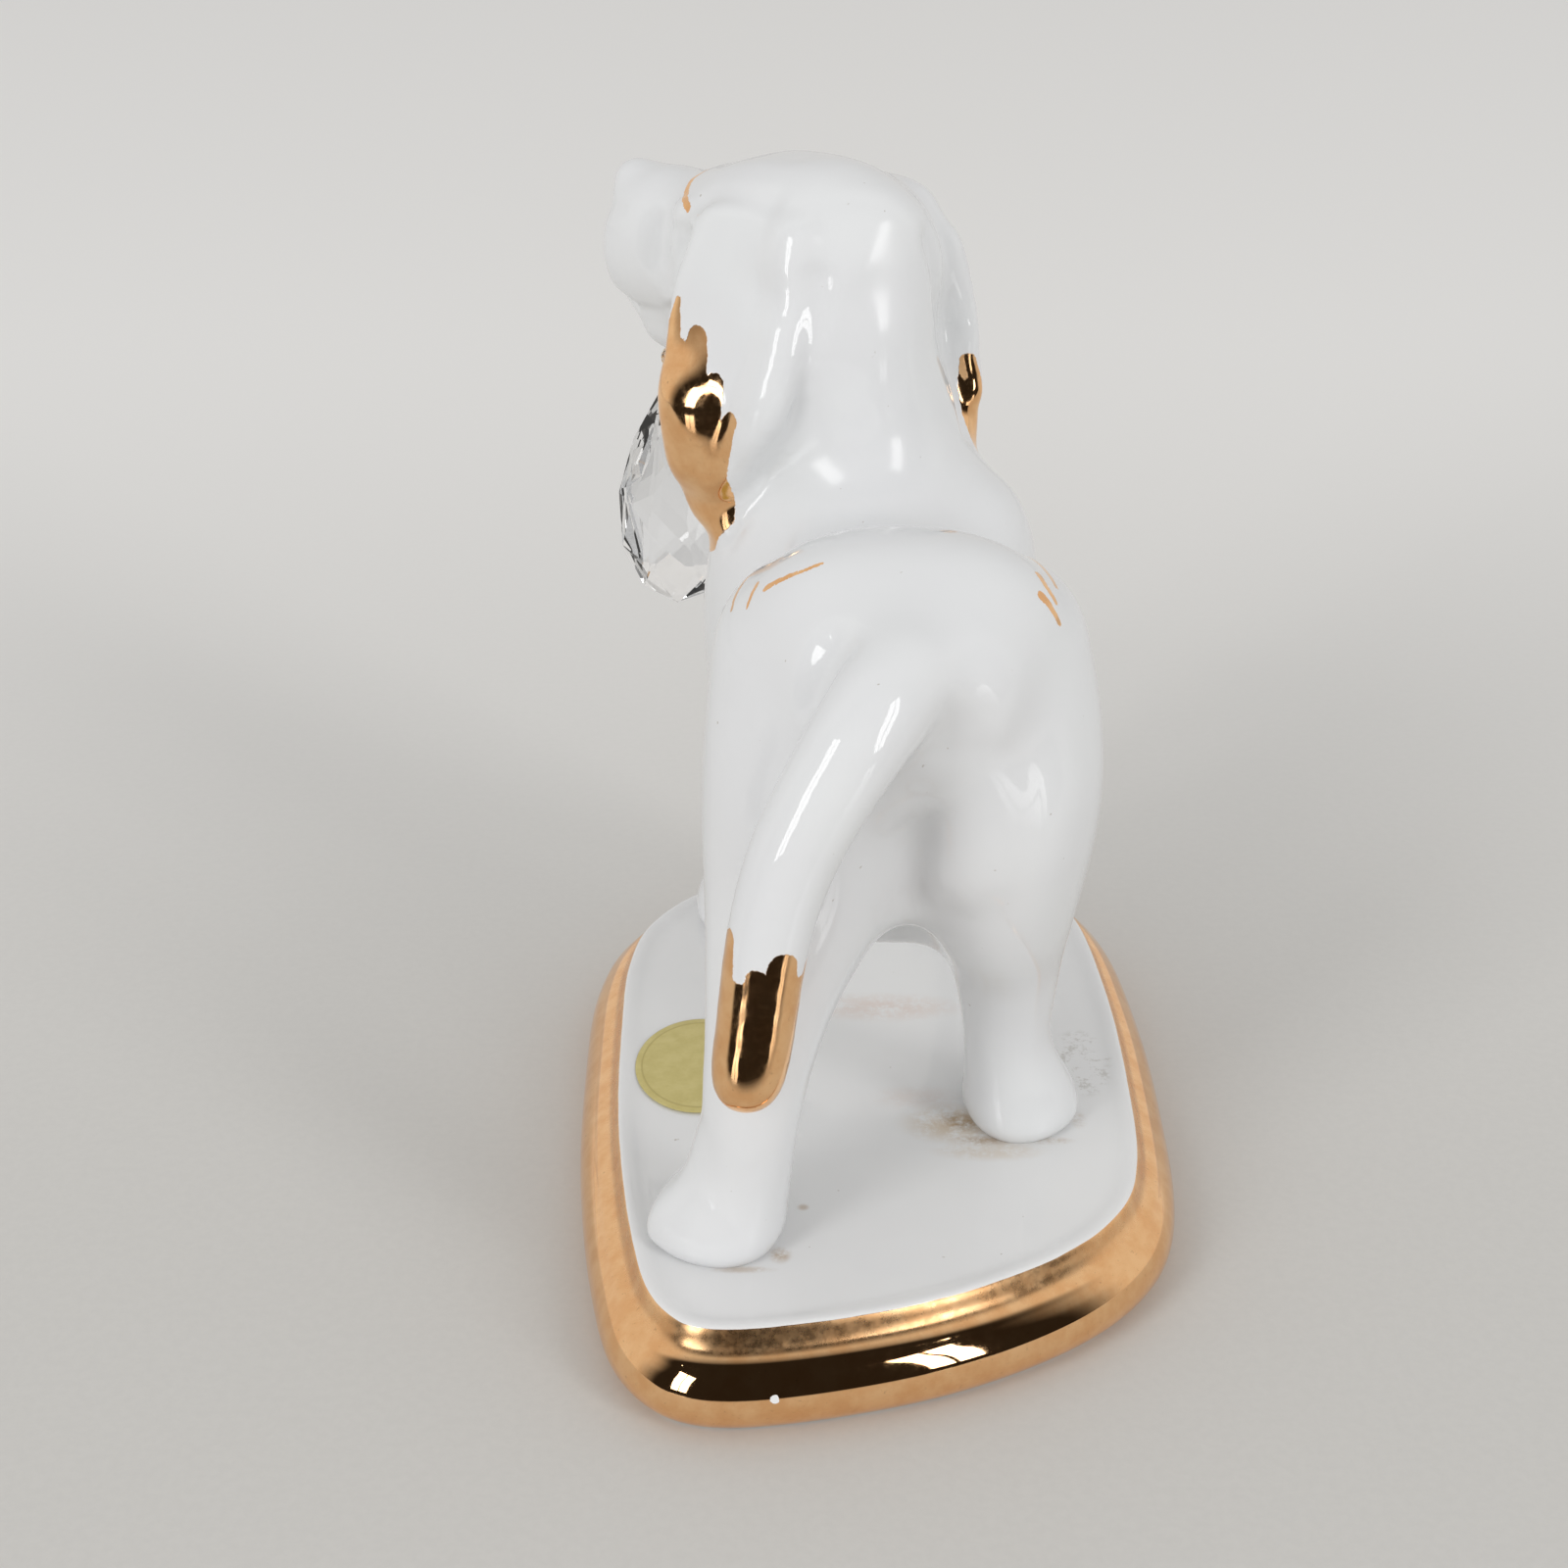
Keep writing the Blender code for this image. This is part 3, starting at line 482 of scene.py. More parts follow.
def loose_ears(flared):
    """The two ears, as in CAD or hanging away from the neck."""
    ears = []
    for node, away in EAR_FLARES.items():
        ear = gathered(node + "_loose", [node])
        rows = points_of(ear)
        if flared:
            rows += ear_flare(rows)[:, None] * away * MM
        put_points(ear, rows)
        ears.append(ear)
    return joined("ears", ears)


def stroke_distance(rows, places):
    """How far each row lies from a line through the places, and how far along it, from 0 to 1."""
    spots = [np.array(place) * MM for place in places]
    nearest = np.linalg.norm(rows - spots[0], axis=1)
    travel = np.zeros(len(rows))
    for index, (first, last) in enumerate(zip(spots, spots[1:])):
        along = last - first
        share = np.clip((rows - first) @ along / (along @ along), 0.0, 1.0)
        distance = np.linalg.norm(rows - first - share[:, None] * along, axis=1)
        closer = distance < nearest
        nearest = np.where(closer, distance, nearest)
        travel = np.where(closer, (index + share) / (len(spots) - 1), travel)
    return nearest / MM, travel


def pressed(rows, normals, strokes, guides=None):
    """Press the strokes into the skin. Guides are the rows that distances are measured from."""
    guides = rows if guides is None else guides
    for places, reach, depth in strokes:
        distance, _ = stroke_distance(guides, places)
        rows -= normals * (falloff(distance, reach) * depth * MM)[:, None]


def surface_distance(rows, piece):
    """Distance in millimetres from each row to a piece's surface, or FAR where it is far away."""
    tree = BVHTree.FromPolygons([vertex.co for vertex in piece.data.vertices],
                                [face.vertices for face in piece.data.polygons])
    corners = points_of(piece)
    margin = 4.0 * MM
    near = np.all((rows > corners.min(axis=0) - margin) & (rows < corners.max(axis=0) + margin), axis=1)
    distance = np.full(len(rows), FAR)
    for index in np.flatnonzero(near):
        distance[index] = tree.find_nearest(Vector(rows[index]))[3] / MM
    return distance


# How far past its edge a painted mask is stored, in millimetres.
MASK_LIMIT = 2.0


def painted(rows, strokes):
    """How far inside the painted strokes each row lies, in millimetres. A stroke has a radius at each end."""
    inside = np.full(len(rows), -MASK_LIMIT)
    for places, first, last in strokes:
        distance, travel = stroke_distance(rows, places)
        inside = np.maximum(inside, first + (last - first) * travel - distance)
    return inside


def snapped(rows, strokes):
    """The strokes with each place moved to the nearest row, so that they lie on the skin."""
    moved = []
    for places, first, last in strokes:
        nearest = [rows[np.argmin(np.sum((rows - np.array(place) * MM) ** 2, axis=1))] for place in places]
        moved.append(([tuple(spot / MM) for spot in nearest], first, last))
    return moved


# Gold brush strokes: places along the stroke in millimetres, then its radius at the start and at the end.
# The ears' and the tail's gold stays within the given distance of their surfaces, and the tail's whole tip
# below TAIL_GOLD_FROM is gold.
ON_EAR = 3.4
ON_TAIL = 1.2
LEFT_EAR_GOLD = [
    ([(-25.5, 25.5, 113.4), (-26.5, 25.4, 106.0)], 0.5, 2.2),
    ([(-26.9, 26.2, 106.0), (-26.6, 26.8, 94.0)], 2.3, 4.0),
    ([(-22.9, 23.0, 109.4), (-23.8, 23.2, 99.0)], 1.5, 3.6),
    ([(-25.3, 24.0, 107.2), (-25.2, 24.0, 98.0)], 1.6, 3.0),
    ([(-20.5, 21.0, 104.6), (-22.0, 22.2, 96.0)], 1.4, 3.0),
    ([(-18.2, 19.6, 100.4), (-20.3, 21.8, 94.0)], 1.2, 2.8),
    ([(-23.0, 23.6, 95.0), (-22.6, 23.6, 82.0)], 5.6, 5.0),
]
TAIL_GOLD = [
    ([(-18.3, -52.4, 61.4), (-18.4, -54.0, 50.0)], 1.5, 3.2),
    ([(-15.0, -55.4, 58.2), (-15.0, -56.5, 50.0)], 1.4, 3.0),
    ([(-12.0, -55.5, 59.4), (-13.0, -56.5, 50.0)], 1.9, 3.2),
    ([(-8.8, -52.0, 57.6), (-9.6, -54.0, 50.0)], 1.6, 3.0),
]
TAIL_GOLD_FROM = 57.6
FLANK_GOLD = [
    ([(-17.0, -15.6, 91.0), (-17.8, -18.2, 89.9), (-18.1, -20.4, 89.0)], 0.5, 0.25),
    ([(-15.1, -21.8, 92.6), (-15.9, -23.0, 91.6), (-16.3, -24.1, 90.4)], 0.5, 0.25),
    ([(-14.2, -24.4, 93.2), (-11.9, -25.8, 94.9), (-9.2, -26.2, 96.4), (-7.4, -26.0, 97.2)], 0.45, 0.2),
    ([(18.0, -13.6, 93.2), (19.4, -17.6, 92.4), (19.8, -20.6, 91.6)], 0.75, 0.45),
    ([(18.2, -23.0, 94.2), (19.2, -23.9, 93.3), (20.2, -24.7, 91.8)], 0.75, 0.45),
    ([(18.6, -26.3, 93.2), (19.6, -26.4, 91.8), (20.6, -26.6, 90.0)], 0.75, 0.45),
    ([(10.6, -14.2, 34.0), (11.1, -14.5, 30.2)], 0.5, 0.6),
]
# A gold arc over each eye.
BROW_GOLD = on_both_sides([
    ([(9.4, 14.8, 7.4), (7.8, 17.2, 8.2), (5.9, 19.0, 8.8), (3.6, 19.8, 9.8), (1.6, 19.0, 10.8)], 0.5, 0.35),
])
# The right ear's gold tip, with lobes up its outer face.
RIGHT_EAR_GOLD = on_head([
    ([(14.8, -10.9, -12.6), (16.0, -12.0, -24.0)], 1.2, 3.4),
    ([(18.0, -8.4, -14.0), (18.0, -8.6, -24.0)], 1.3, 3.4),
    ([(18.2, -4.0, -15.6), (18.0, -6.5, -25.0)], 1.4, 3.2),
    ([(18.2, 0.6, -18.4), (18.0, -4.0, -26.0)], 1.3, 3.2),
    ([(16.8, -6.0, -24.6), (16.0, -8.6, -34.0)], 5.4, 5.0),
])

# The eyes, and the black pupils painted on them.
EYES = [head_place(side * 9.4, 13.9, 3.5) for side in (-1.0, 1.0)]
EYE_RADIUS = 2.5
PUPILS = on_both_sides([([(11.4, 13.6, 3.2)], 1.6, 1.6)])
# The gold in the grooves between the toes: half width, middle height over the deck and half length, in mm.
TOE_GOLD = 0.38
TOE_GOLD_HEIGHT = 5.2
TOE_GOLD_HALF = 2.2


def gold_mask_rows(rows, ears, tail):
    """How far inside the gold each row lies, in millimetres."""
    ear_rows = unflared(rows)
    on_ear = ON_EAR - surface_distance(ear_rows, ears)
    on_tail = ON_TAIL - surface_distance(rows, tail)
    gold = np.minimum(painted(ear_rows, LEFT_EAR_GOLD + RIGHT_EAR_GOLD), on_ear)
    tip = np.maximum(painted(rows, TAIL_GOLD), TAIL_GOLD_FROM - rows[:, 2] / MM)
    gold = np.maximum(gold, np.minimum(tip, on_tail))
    gold = np.maximum(gold, painted(rows, snapped(rows, FLANK_GOLD + BROW_GOLD)))
    heights = (rows[:, 2] - DECK) / MM
    toes = np.minimum(TOE_GOLD - toe_distance(rows), TOE_GOLD_HALF - np.abs(heights - TOE_GOLD_HEIGHT))
    return np.maximum(gold, toes)


def paint_skin(skin, ears, tail):
    """Store where the gold and the eyes' ink lie, as distances inside each painted edge."""
    rows = points_of(skin)
    for name, values in (("gold", gold_mask_rows(rows, ears, tail)), ("ink", painted(rows, PUPILS))):
        layer = skin.data.attributes.new(name, "FLOAT", "POINT")
        layer.data.foreach_set("value", np.clip(values, -MASK_LIMIT, MASK_LIMIT).astype(np.float32))


# Places that are smoothed further, as on the real casting: middle and half sizes in millimetres.
SMOOTH_RUMP = ((2.0, -34.0, 84.0), (24.0, 20.0, 20.0))
SMOOTH_CROWN = ((-10.0, 22.0, 116.0), (16.0, 12.0, 13.0))
# How much the face and the ears' thin flaps take part in the smoothing.
FINE_SHARE = 0.3


def blob(rows, middle, half):
    """1 in the middle of an egg shape, 0 outside it."""
    return falloff(np.linalg.norm((rows - np.array(middle) * MM) / np.array(half), axis=1), 1.0 * MM)


def soften(skin):
    """Smooth the body well, the face and the ears' flaps less, and the rump and the crown most."""
    rows = points_of(skin)
    right, forward, up = in_head(rows)
    face = (forward > 14.0 * MM) & (up > -20.0 * MM)
    flaps = (np.abs(right) > 12.5 * MM) & (np.abs(forward) < 17.0 * MM) & (up > -33.0 * MM) & (up < -4.0 * MM)
    relax(skin, 3)
    relax(skin, 110, weight=np.where(face | flaps, FINE_SHARE, 1.0), keep=KEEP)
    most = np.maximum(blob(rows, *SMOOTH_RUMP), blob(rows, *SMOOTH_CROWN))
    relax(skin, 150, weight=most, keep=1.02)


def carve(skin):
    """Press in the folds of the body, the face, the ears and the toes."""
    rows = points_of(skin)
    normals = normals_of(skin)
    pressed(rows, normals, BODY_STROKES + FACE_STROKES)
    flat = unflared(rows)
    pressed(rows, normals, EAR_STROKES + snapped(flat, EAR_EDGES), flat)
    rows -= normals * (falloff(toe_distance(rows), TOE_REACH) * TOE_DEPTH * MM)[:, None]
    put_points(skin, rows)
    relax(skin, 4)


def dog_skin():
    """The castings under one skin of glaze, with soft fillets where they are luted together."""
    ears = loose_ears(False)
    tail = gathered("tail_guide", ["tail"])
    eyes = [ellipsoid("eye", middle, (EYE_RADIUS,) * 3) for middle in EYES]
    skin = joined("hound_glaze", [body_core(), gathered("face", ["head"]), loose_ears(True), *eyes])
    remesh(skin, FACE_VOXEL)
    closed_up(skin, SEAM_FILLET, FACE_VOXEL)
    remesh(skin, SKIN_VOXEL)
    soften(skin)
    shape_paws(skin)
    carve(skin)
    inflate(skin, SKIN)
    paint_skin(skin, ears, tail)
    discard(ears)
    discard(tail)
    return skin


def outlines(node):
    """A CAD node's outline at each of its heights, with the points in order round the middle."""
    rows = points_of(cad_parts[node])
    found = []
    for height in np.unique(np.round(rows[:, 2], 6)):
        ring = np.unique(np.round(rows[np.abs(rows[:, 2] - height) < 2e-6][:, :2], 7), axis=0)
        found.append(ring[np.argsort(np.arctan2(ring[:, 1], ring[:, 0]))])
    return found


def curve_point(before, first, last, after, t):
    """A place on the Catmull-Rom curve from first to last."""
    return (first * 2 + (last - before) * t + (before * 2 - first * 5 + last * 4 - after) * t ** 2
            + (first * 3 - before - last * 3 + after) * t ** 3) * 0.5


def closed_curve(points, steps):
    """Rounder points through a closed outline."""
    corners = [np.roll(points, shift, axis=0) for shift in (1, 0, -1, -2)]
    made = [curve_point(*corners, step / steps) for step in range(steps)]
    return np.stack(made, axis=1).reshape(-1, 2)


# The plinth's side from the deck to the underside, in millimetres: out from the widest line, height.
RIM_PROFILE = [
    (-9.6, 12.60), (-8.7, 12.62), (-7.8, 12.72), (-7.0, 12.90), (-6.4, 12.99), (-5.8, 12.98), (-5.35, 12.80),
    (-5.08, 12.42), (-4.86, 11.92), (-4.66, 11.38), (-4.42, 10.85), (-4.08, 10.40), (-3.65, 10.08),
    (-3.15, 9.80), (-2.62, 9.45), (-2.12, 8.95), (-1.64, 8.46), (-1.19, 7.95), (-0.80, 7.38), (-0.48, 6.78),
    (-0.24, 6.14), (-0.09, 5.47), (0.0, 4.75), (-0.03, 4.1), (-0.16, 3.4), (-0.42, 2.7), (-0.82, 2.05),
    (-1.35, 1.42), (-1.95, 0.85), (-2.6, 0.32), (-3.2, 0.0),
]
# Where along the profile the gold starts and ends.
GOLD_FROM = 6.0
GOLD_TO = 28.9
# Places on the rim where the gold is chipped off: middle and radius in millimetres.
CHIPS = [((-0.9, -64.9, 3.6), 0.75), ((-13.0, -64.6, 6.1), 0.55),
         ((31.0, 52.0, 3.2), 0.8), ((-38.6, 20.0, 3.0), 0.7)]
# How much finer the visible plinth is than its CAD outline, and than the profile.
OUTLINE_STEPS = 4
PROFILE_STEPS = 3


def fine_profile():
    """The plinth's side as (out, height, place along RIM_PROFILE)."""
    spots = np.array(RIM_PROFILE)
    last = len(spots) - 1
    fine = []
    for index in range(last):
        corners = [spots[min(max(index + shift, 0), last)] for shift in (-1, 0, 1, 2)]
        for step in range(PROFILE_STEPS):
            t = step / PROFILE_STEPS
            fine.append((*curve_point(*corners, t), index + t))
    return [*fine, (*spots[last], last)]


def plinth_skin():
    """The plinth with a finer rim than its CAD node, on the same outline."""
    widest = max(outlines("plinth"), key=lambda ring: np.ptp(ring[:, 0]))
    outline = closed_curve(widest, OUTLINE_STEPS)
    along = np.roll(outline, -1, axis=0) - np.roll(outline, 1, axis=0)
    along /= np.linalg.norm(along, axis=1)[:, None]
    outward = np.stack((along[:, 1], -along[:, 0]), axis=1)
    bm = bmesh.new()
    down = bm.verts.layers.float.new("down")
    rings = []
    for out, height, place in fine_profile():
        ring = [bm.verts.new((x, y, height * MM)) for x, y in outline + outward * out * MM]
        for vertex in ring:
            vertex[down] = place
        rings.append(ring)
    for ring, following in zip(rings, rings[1:]):
        for index in range(len(ring)):
            after = (index + 1) % len(ring)
            bm.faces.new((ring[index], ring[after], following[after], following[index]))
    bm.faces.new(rings[0])
    bm.faces.new(reversed(rings[-1]))
    bmesh.ops.recalc_face_normals(bm, faces=bm.faces)
    plinth = built("plinth_glaze", bm)
    plinth.data.shade_smooth()
    return plinth


class Wiring:
    """Short names for adding and linking shader nodes."""

    def __init__(self, tree):
        self.tree = tree

    def add(self, kind, **settings):
        """A new node."""
        node = self.tree.nodes.new(kind)
        for key, value in settings.items():
            setattr(node, key, value)
        return node

    def feed(self, socket, value):
        """Link an input to another node's output, or set its value."""
        if isinstance(value, bpy.types.NodeSocket):
            self.tree.links.new(value, socket)
        else:
            socket.default_value = value

    def math(self, operation, *values, clamp=False):
        """A sum on numbers."""
        node = self.add("ShaderNodeMath", operation=operation, use_clamp=clamp)
        for socket, value in zip(node.inputs, values):
            self.feed(socket, value)
        return node.outputs[0]

    def vector(self, operation, *values):
        """A sum on places."""
        node = self.add("ShaderNodeVectorMath", operation=operation)
        for socket, value in zip(node.inputs, values):
            self.feed(socket, value)
        return node.outputs["Value" if operation in ("LENGTH", "DISTANCE") else "Vector"]

    def ramp(self, value, low, high, start=0.0, end=1.0, kind="SMOOTHSTEP"):
        """A step from start at low to end at high."""
        node = self.add("ShaderNodeMapRange", interpolation_type=kind)
        self.feed(node.inputs["Value"], value)
        for name, setting in (("From Min", low), ("From Max", high), ("To Min", start), ("To Max", end)):
            node.inputs[name].default_value = setting
        return node.outputs["Result"]

    def mix(self, factor, first, second):
        """A blend of two colours."""
        node = self.add("ShaderNodeMix", data_type="RGBA")
        self.feed(node.inputs[0], factor)
        self.feed(node.inputs[6], (*first, 1.0) if isinstance(first, tuple) else first)
        self.feed(node.inputs[7], (*second, 1.0) if isinstance(second, tuple) else second)
        return node.outputs[2]


class Finish(Wiring):
    """The wiring of a material."""

    def __init__(self, name):
        self.material = bpy.data.materials.new(name)
        self.material.use_nodes = True
        super().__init__(self.material.node_tree)
        self.shader = self.tree.nodes["Principled BSDF"]
        self.place = self.add("ShaderNodeTexCoord").outputs["Object"]

    def noise(self, scale, detail=2.0, rough=0.5, shift=0.0):
        """Noise with features about 1 / scale metres across."""
        node = self.add("ShaderNodeTexNoise")
        place = self.vector("ADD", self.place, (shift, shift, shift))
        for name, value in (("Vector", place), ("Scale", scale), ("Detail", detail), ("Roughness", rough)):
            self.feed(node.inputs[name], value)
        return node.outputs["Fac"]

    def attribute(self, name):
        """A value stored on the mesh."""
        return self.add("ShaderNodeAttribute", attribute_name=name).outputs["Fac"]

    def bump(self, height, strength, distance):
        """Fine relief."""
        node = self.add("ShaderNodeBump")
        for name, value in (("Height", height), ("Strength", strength), ("Distance", distance)):
            self.feed(node.inputs[name], value)
        self.set(Normal=node.outputs["Normal"])

    def set(self, **values):
        """Feed the surface's own inputs."""
        for name, value in values.items():
            self.feed(self.shader.inputs[name.replace("_", " ")], value)


# The room as gloss, soft light and the camera see it, the floor, painted lighter further off as if better lit
# there, and where the room turns along Y and Z.
DARK_ROOM = (0.022, 0.019, 0.016)
PALE_ROOM = (0.72, 0.70, 0.67)
NEAR_FILL = (0.82, 0.82, 0.82)
FAR_FILL = (0.80, 0.80, 0.80)
OVERHEAD_FILL = (0.45, 0.45, 0.45)
BACKDROP = (0.70, 0.69, 0.67)
FLOOR_NEAR = (0.665, 0.65, 0.62)
FLOOR_FAR_PAINTED_LIGHTER = (0.90, 0.89, 0.87)
FLOOR_UNLIT = (0.03, 0.026, 0.022)
ROOM_TURNS = (-0.35, 0.10)
OVERHEAD_TURNS = (0.45, 0.95)
# Where the floor, in metres, turns from near to the far part that is painted lighter, and from dark to lit as
# gloss sees it.
FLOOR_TURNS = (-0.08, 0.40)
UNLIT_TURNS = (-0.16, -0.10)
# Softbox panels: brightness, height, distance, and the gap between the two of a pair.
PANEL_RADIANCE = 5.6
PANEL_HEIGHT = 1.35
PANEL_REACH = 2.0
PANEL_SPLIT = 0.035
PANEL_AIM = Vector((0.0, 0.0, 0.06))
# Each pair's direction as seen from the dog, to the side of the camera and up, and a panel's width.
PANEL_PAIRS = [(-40.0, 24.0, 0.25), (44.0, 24.0, 0.19)]

# The jump ring's slit, the side of the ring that it lies on, and the broken edge of the drop's facets.
RING_SLIT = 0.12 * MM
RING_SIDE = Vector((math.cos(math.radians(12.0)), -math.sin(math.radians(12.0)), 0.0))
FACET_EDGE = 0.05 * MM

# The porcelain's colours and its glaze. The deck's whites are the dog's glaze painted lighter, as if the deck
# were better lit.
DOG_WHITES = ((0.745, 0.75, 0.76), (0.76, 0.77, 0.775))
DECK_WHITES_PAINTED_LIGHTER = ((0.80, 0.80, 0.80), (0.82, 0.82, 0.815))
GOLD = (1.0, 0.62, 0.32)
DARK_GOLD = (0.90, 0.50, 0.23)
WORN_GOLD = (0.42, 0.25, 0.12)
INK = (0.012, 0.010, 0.010)
DUST = (0.40, 0.25, 0.11)
HALO = (0.62, 0.49, 0.34)
# A pinkish tint that paints shade and a gold reflection on the deck under the belly.
BELLY_SHADE_TINT = (0.72, 0.60, 0.54)
SPECK = (0.36, 0.30, 0.24)
PASTE = (0.50, 0.48, 0.44)
GLAZE_ROUGHNESS = 0.045
FILM_DULLNESS = 0.22
GLAZE_IOR = 1.52
CRYSTAL_IOR = 1.56
# Stains on the deck, and painted shade with a gold reflection under the belly: middle and half sizes in
# millimetres, how strong, and the colour.
DECK_STAINS_AND_SHADE = [
    ((11.0, -14.5), (9.0, 6.0), 0.75, HALO),
    ((15.0, -21.0), (9.0, 3.0), 0.45, HALO),
    ((11.5, -14.0), (3.4, 3.0), 0.75, DUST),
    ((14.5, -18.5), (5.5, 1.6), 0.65, DUST),
    ((23.0, -18.6), (4.0, 1.2), 0.45, DUST),
    ((27.2, -13.5), (1.4, 2.6), 0.35, DUST),
    # Painted shade and gold reflection on the deck under the belly.
    ((6.0, -8.0), (8.0, 4.0), 0.35, BELLY_SHADE_TINT),
    ((2.0, 16.0), (14.0, 5.0), 0.65, BELLY_SHADE_TINT),
    ((-12.4, -44.4), (1.8, 2.2), 0.7, DUST),
    ((-17.0, -47.5), (5.0, 1.0), 0.40, DUST),
    ((-9.5, -34.0), (1.0, 1.0), 0.5, DUST),
]
RESIDUE = ((29.0, 1.0), (4.8, 10.0))
# Where a thin film of dust dulls the glaze: middle and half sizes in millimetres.
FILMS = [((-4.0, 9.0, 96.0), (24.0, 18.0, 16.0)), ((3.0, 21.0, 119.0), (11.0, 13.0, 22.0)),
         ((-5.0, 19.0, 123.5), (6.5, 8.0, 10.0))]


def filmed(wires):
    """The glaze's roughness: glossy, but dulled on the withers and the crown."""
    dull = 0.0
    for middle, half in FILMS:
        offset = wires.vector("SUBTRACT", wires.place, tuple(part * MM for part in middle))
        spread = wires.vector("LENGTH", wires.vector("DIVIDE", offset, tuple(part * MM for part in half)))
        dull = wires.math("MAXIMUM", dull, wires.ramp(spread, 0.0, 1.0, 1.0, 0.0))
    return wires.math("MULTIPLY_ADD", dull, FILM_DULLNESS, GLAZE_ROUGHNESS)


def white_glaze(wires, whites):
    """The glaze's colour, softly clouded, with fine specks."""
    cloud = wires.ramp(wires.noise(45.0, 3.0), 0.35, 0.7)
    speck = wires.ramp(wires.noise(900.0, 1.0, shift=0.3), 0.80, 0.84)
    return wires.mix(wires.math("MULTIPLY", speck, 0.6), wires.mix(cloud, *whites), SPECK)


def gold_lustre(wires):
    """The gold's colour, with small worn spots."""
    tone = wires.ramp(wires.noise(300.0, 4.0, 0.6), 0.3, 0.7)
    spots = wires.ramp(wires.noise(1300.0, 6.0, 0.8, shift=0.4), 0.60, 0.68, 0.0, 0.55)
    return wires.mix(spots, wires.mix(tone, GOLD, DARK_GOLD), WORN_GOLD)


def gold_roughness(wires):
    """The gold's roughness, brighter in some places than in others."""
    return wires.ramp(wires.noise(700.0, 5.0, 0.7, shift=0.1), 0.35, 0.75, 0.05, 0.20)


def rim_roughness(wires):
    """The rim's gold is rubbed dull on its upper step and bright on its lower one."""
    down = wires.attribute("down")
    worn = wires.math("MULTIPLY", gold_roughness(wires), wires.ramp(down, 12.5, 14.0, 1.0, 0.35))
    return wires.math("ADD", worn, wires.ramp(down, 11.0, 13.0, 0.20, 0.0))


def porcelain(wires, white, gold, glaze_rough, gold_rough):
    """Glazed porcelain, with bright gold where the gold mask is 1."""
    wires.set(Base_Color=wires.mix(gold, white, gold_lustre(wires)), Metallic=gold)
    rough = wires.add("ShaderNodeMix", data_type="FLOAT")
    wires.feed(rough.inputs[0], gold)
    wires.feed(rough.inputs[2], glaze_rough)
    wires.feed(rough.inputs[3], gold_rough)
    wires.set(Roughness=rough.outputs[0])
    calm = wires.math("MULTIPLY_ADD", gold, -0.7, 1.0)
    wires.bump(wires.math("MULTIPLY", wires.noise(120.0, 2.0), calm), 0.25, 0.15 * MM)
    wires.set(IOR=GLAZE_IOR)
    return wires.material


def hound_porcelain():
    """The dog's white glaze, with its gold and the eyes' black paint."""
    wires = Finish("hound_porcelain")
    ink = wires.ramp(wires.attribute("ink"), -0.08, 0.08)
    white = wires.mix(ink, white_glaze(wires, DOG_WHITES), INK)
    return porcelain(wires, white, dog_gold(wires), filmed(wires), gold_roughness(wires))


def plinth_porcelain():
    """The plinth's white glaze, painted lighter than the dog's as if better lit, with stains and painted
    shade on the deck, and the gilt rim.
    """
    wires = Finish("plinth_porcelain")
    white = stained_and_shaded(wires, white_glaze(wires, DECK_WHITES_PAINTED_LIGHTER))
    return porcelain(wires, white, rim_gold(wires), GLAZE_ROUGHNESS, rim_roughness(wires))


def patch(wires, middle, half):
    """1 in the middle of a flat oval patch on the deck, 0 at its edge, in millimetres."""
    place = wires.vector("MULTIPLY", wires.place, (1.0, 1.0, 0.0))
    offset = wires.vector("SUBTRACT", place, (middle[0] * MM, middle[1] * MM, 0.0))
    spread = wires.vector("DIVIDE", offset, (half[0] * MM, half[1] * MM, 1.0))
    return wires.math("SUBTRACT", 1.0, wires.vector("LENGTH", spread), clamp=True)


def stained_and_shaded(wires, white):
    """The deck's glaze with old dust, painted shade and gold reflection under the belly, and a dull, broken
    trace of paste.
    """
    inside_edge = wires.ramp(wires.attribute("down"), 3.0, 5.0, 1.0, 0.0)
    grain = wires.noise(900.0, 6.0, 0.75)
    for index, (middle, half, strength, colour) in enumerate(DECK_STAINS_AND_SHADE):
        near = wires.ramp(patch(wires, middle, half), 0.0, 0.8)
        coarse = wires.noise(260.0, 4.0, 0.7, shift=0.01 * index)
        broken = wires.ramp(wires.math("ADD", grain, coarse), 0.70, 1.15)
        amount = wires.math("MULTIPLY", wires.math("MULTIPLY", near, broken), strength)
        white = wires.mix(wires.math("MULTIPLY", amount, inside_edge), white, colour)
    trace = wires.ramp(patch(wires, *RESIDUE), 0.05, 0.35)
    flakes = wires.ramp(wires.noise(420.0, 6.0, 0.8, shift=0.2), 0.50, 0.60)
    amount = wires.math("MULTIPLY", wires.math("MULTIPLY", trace, flakes), 0.6)
    return wires.mix(wires.math("MULTIPLY", amount, inside_edge), white, PASTE)


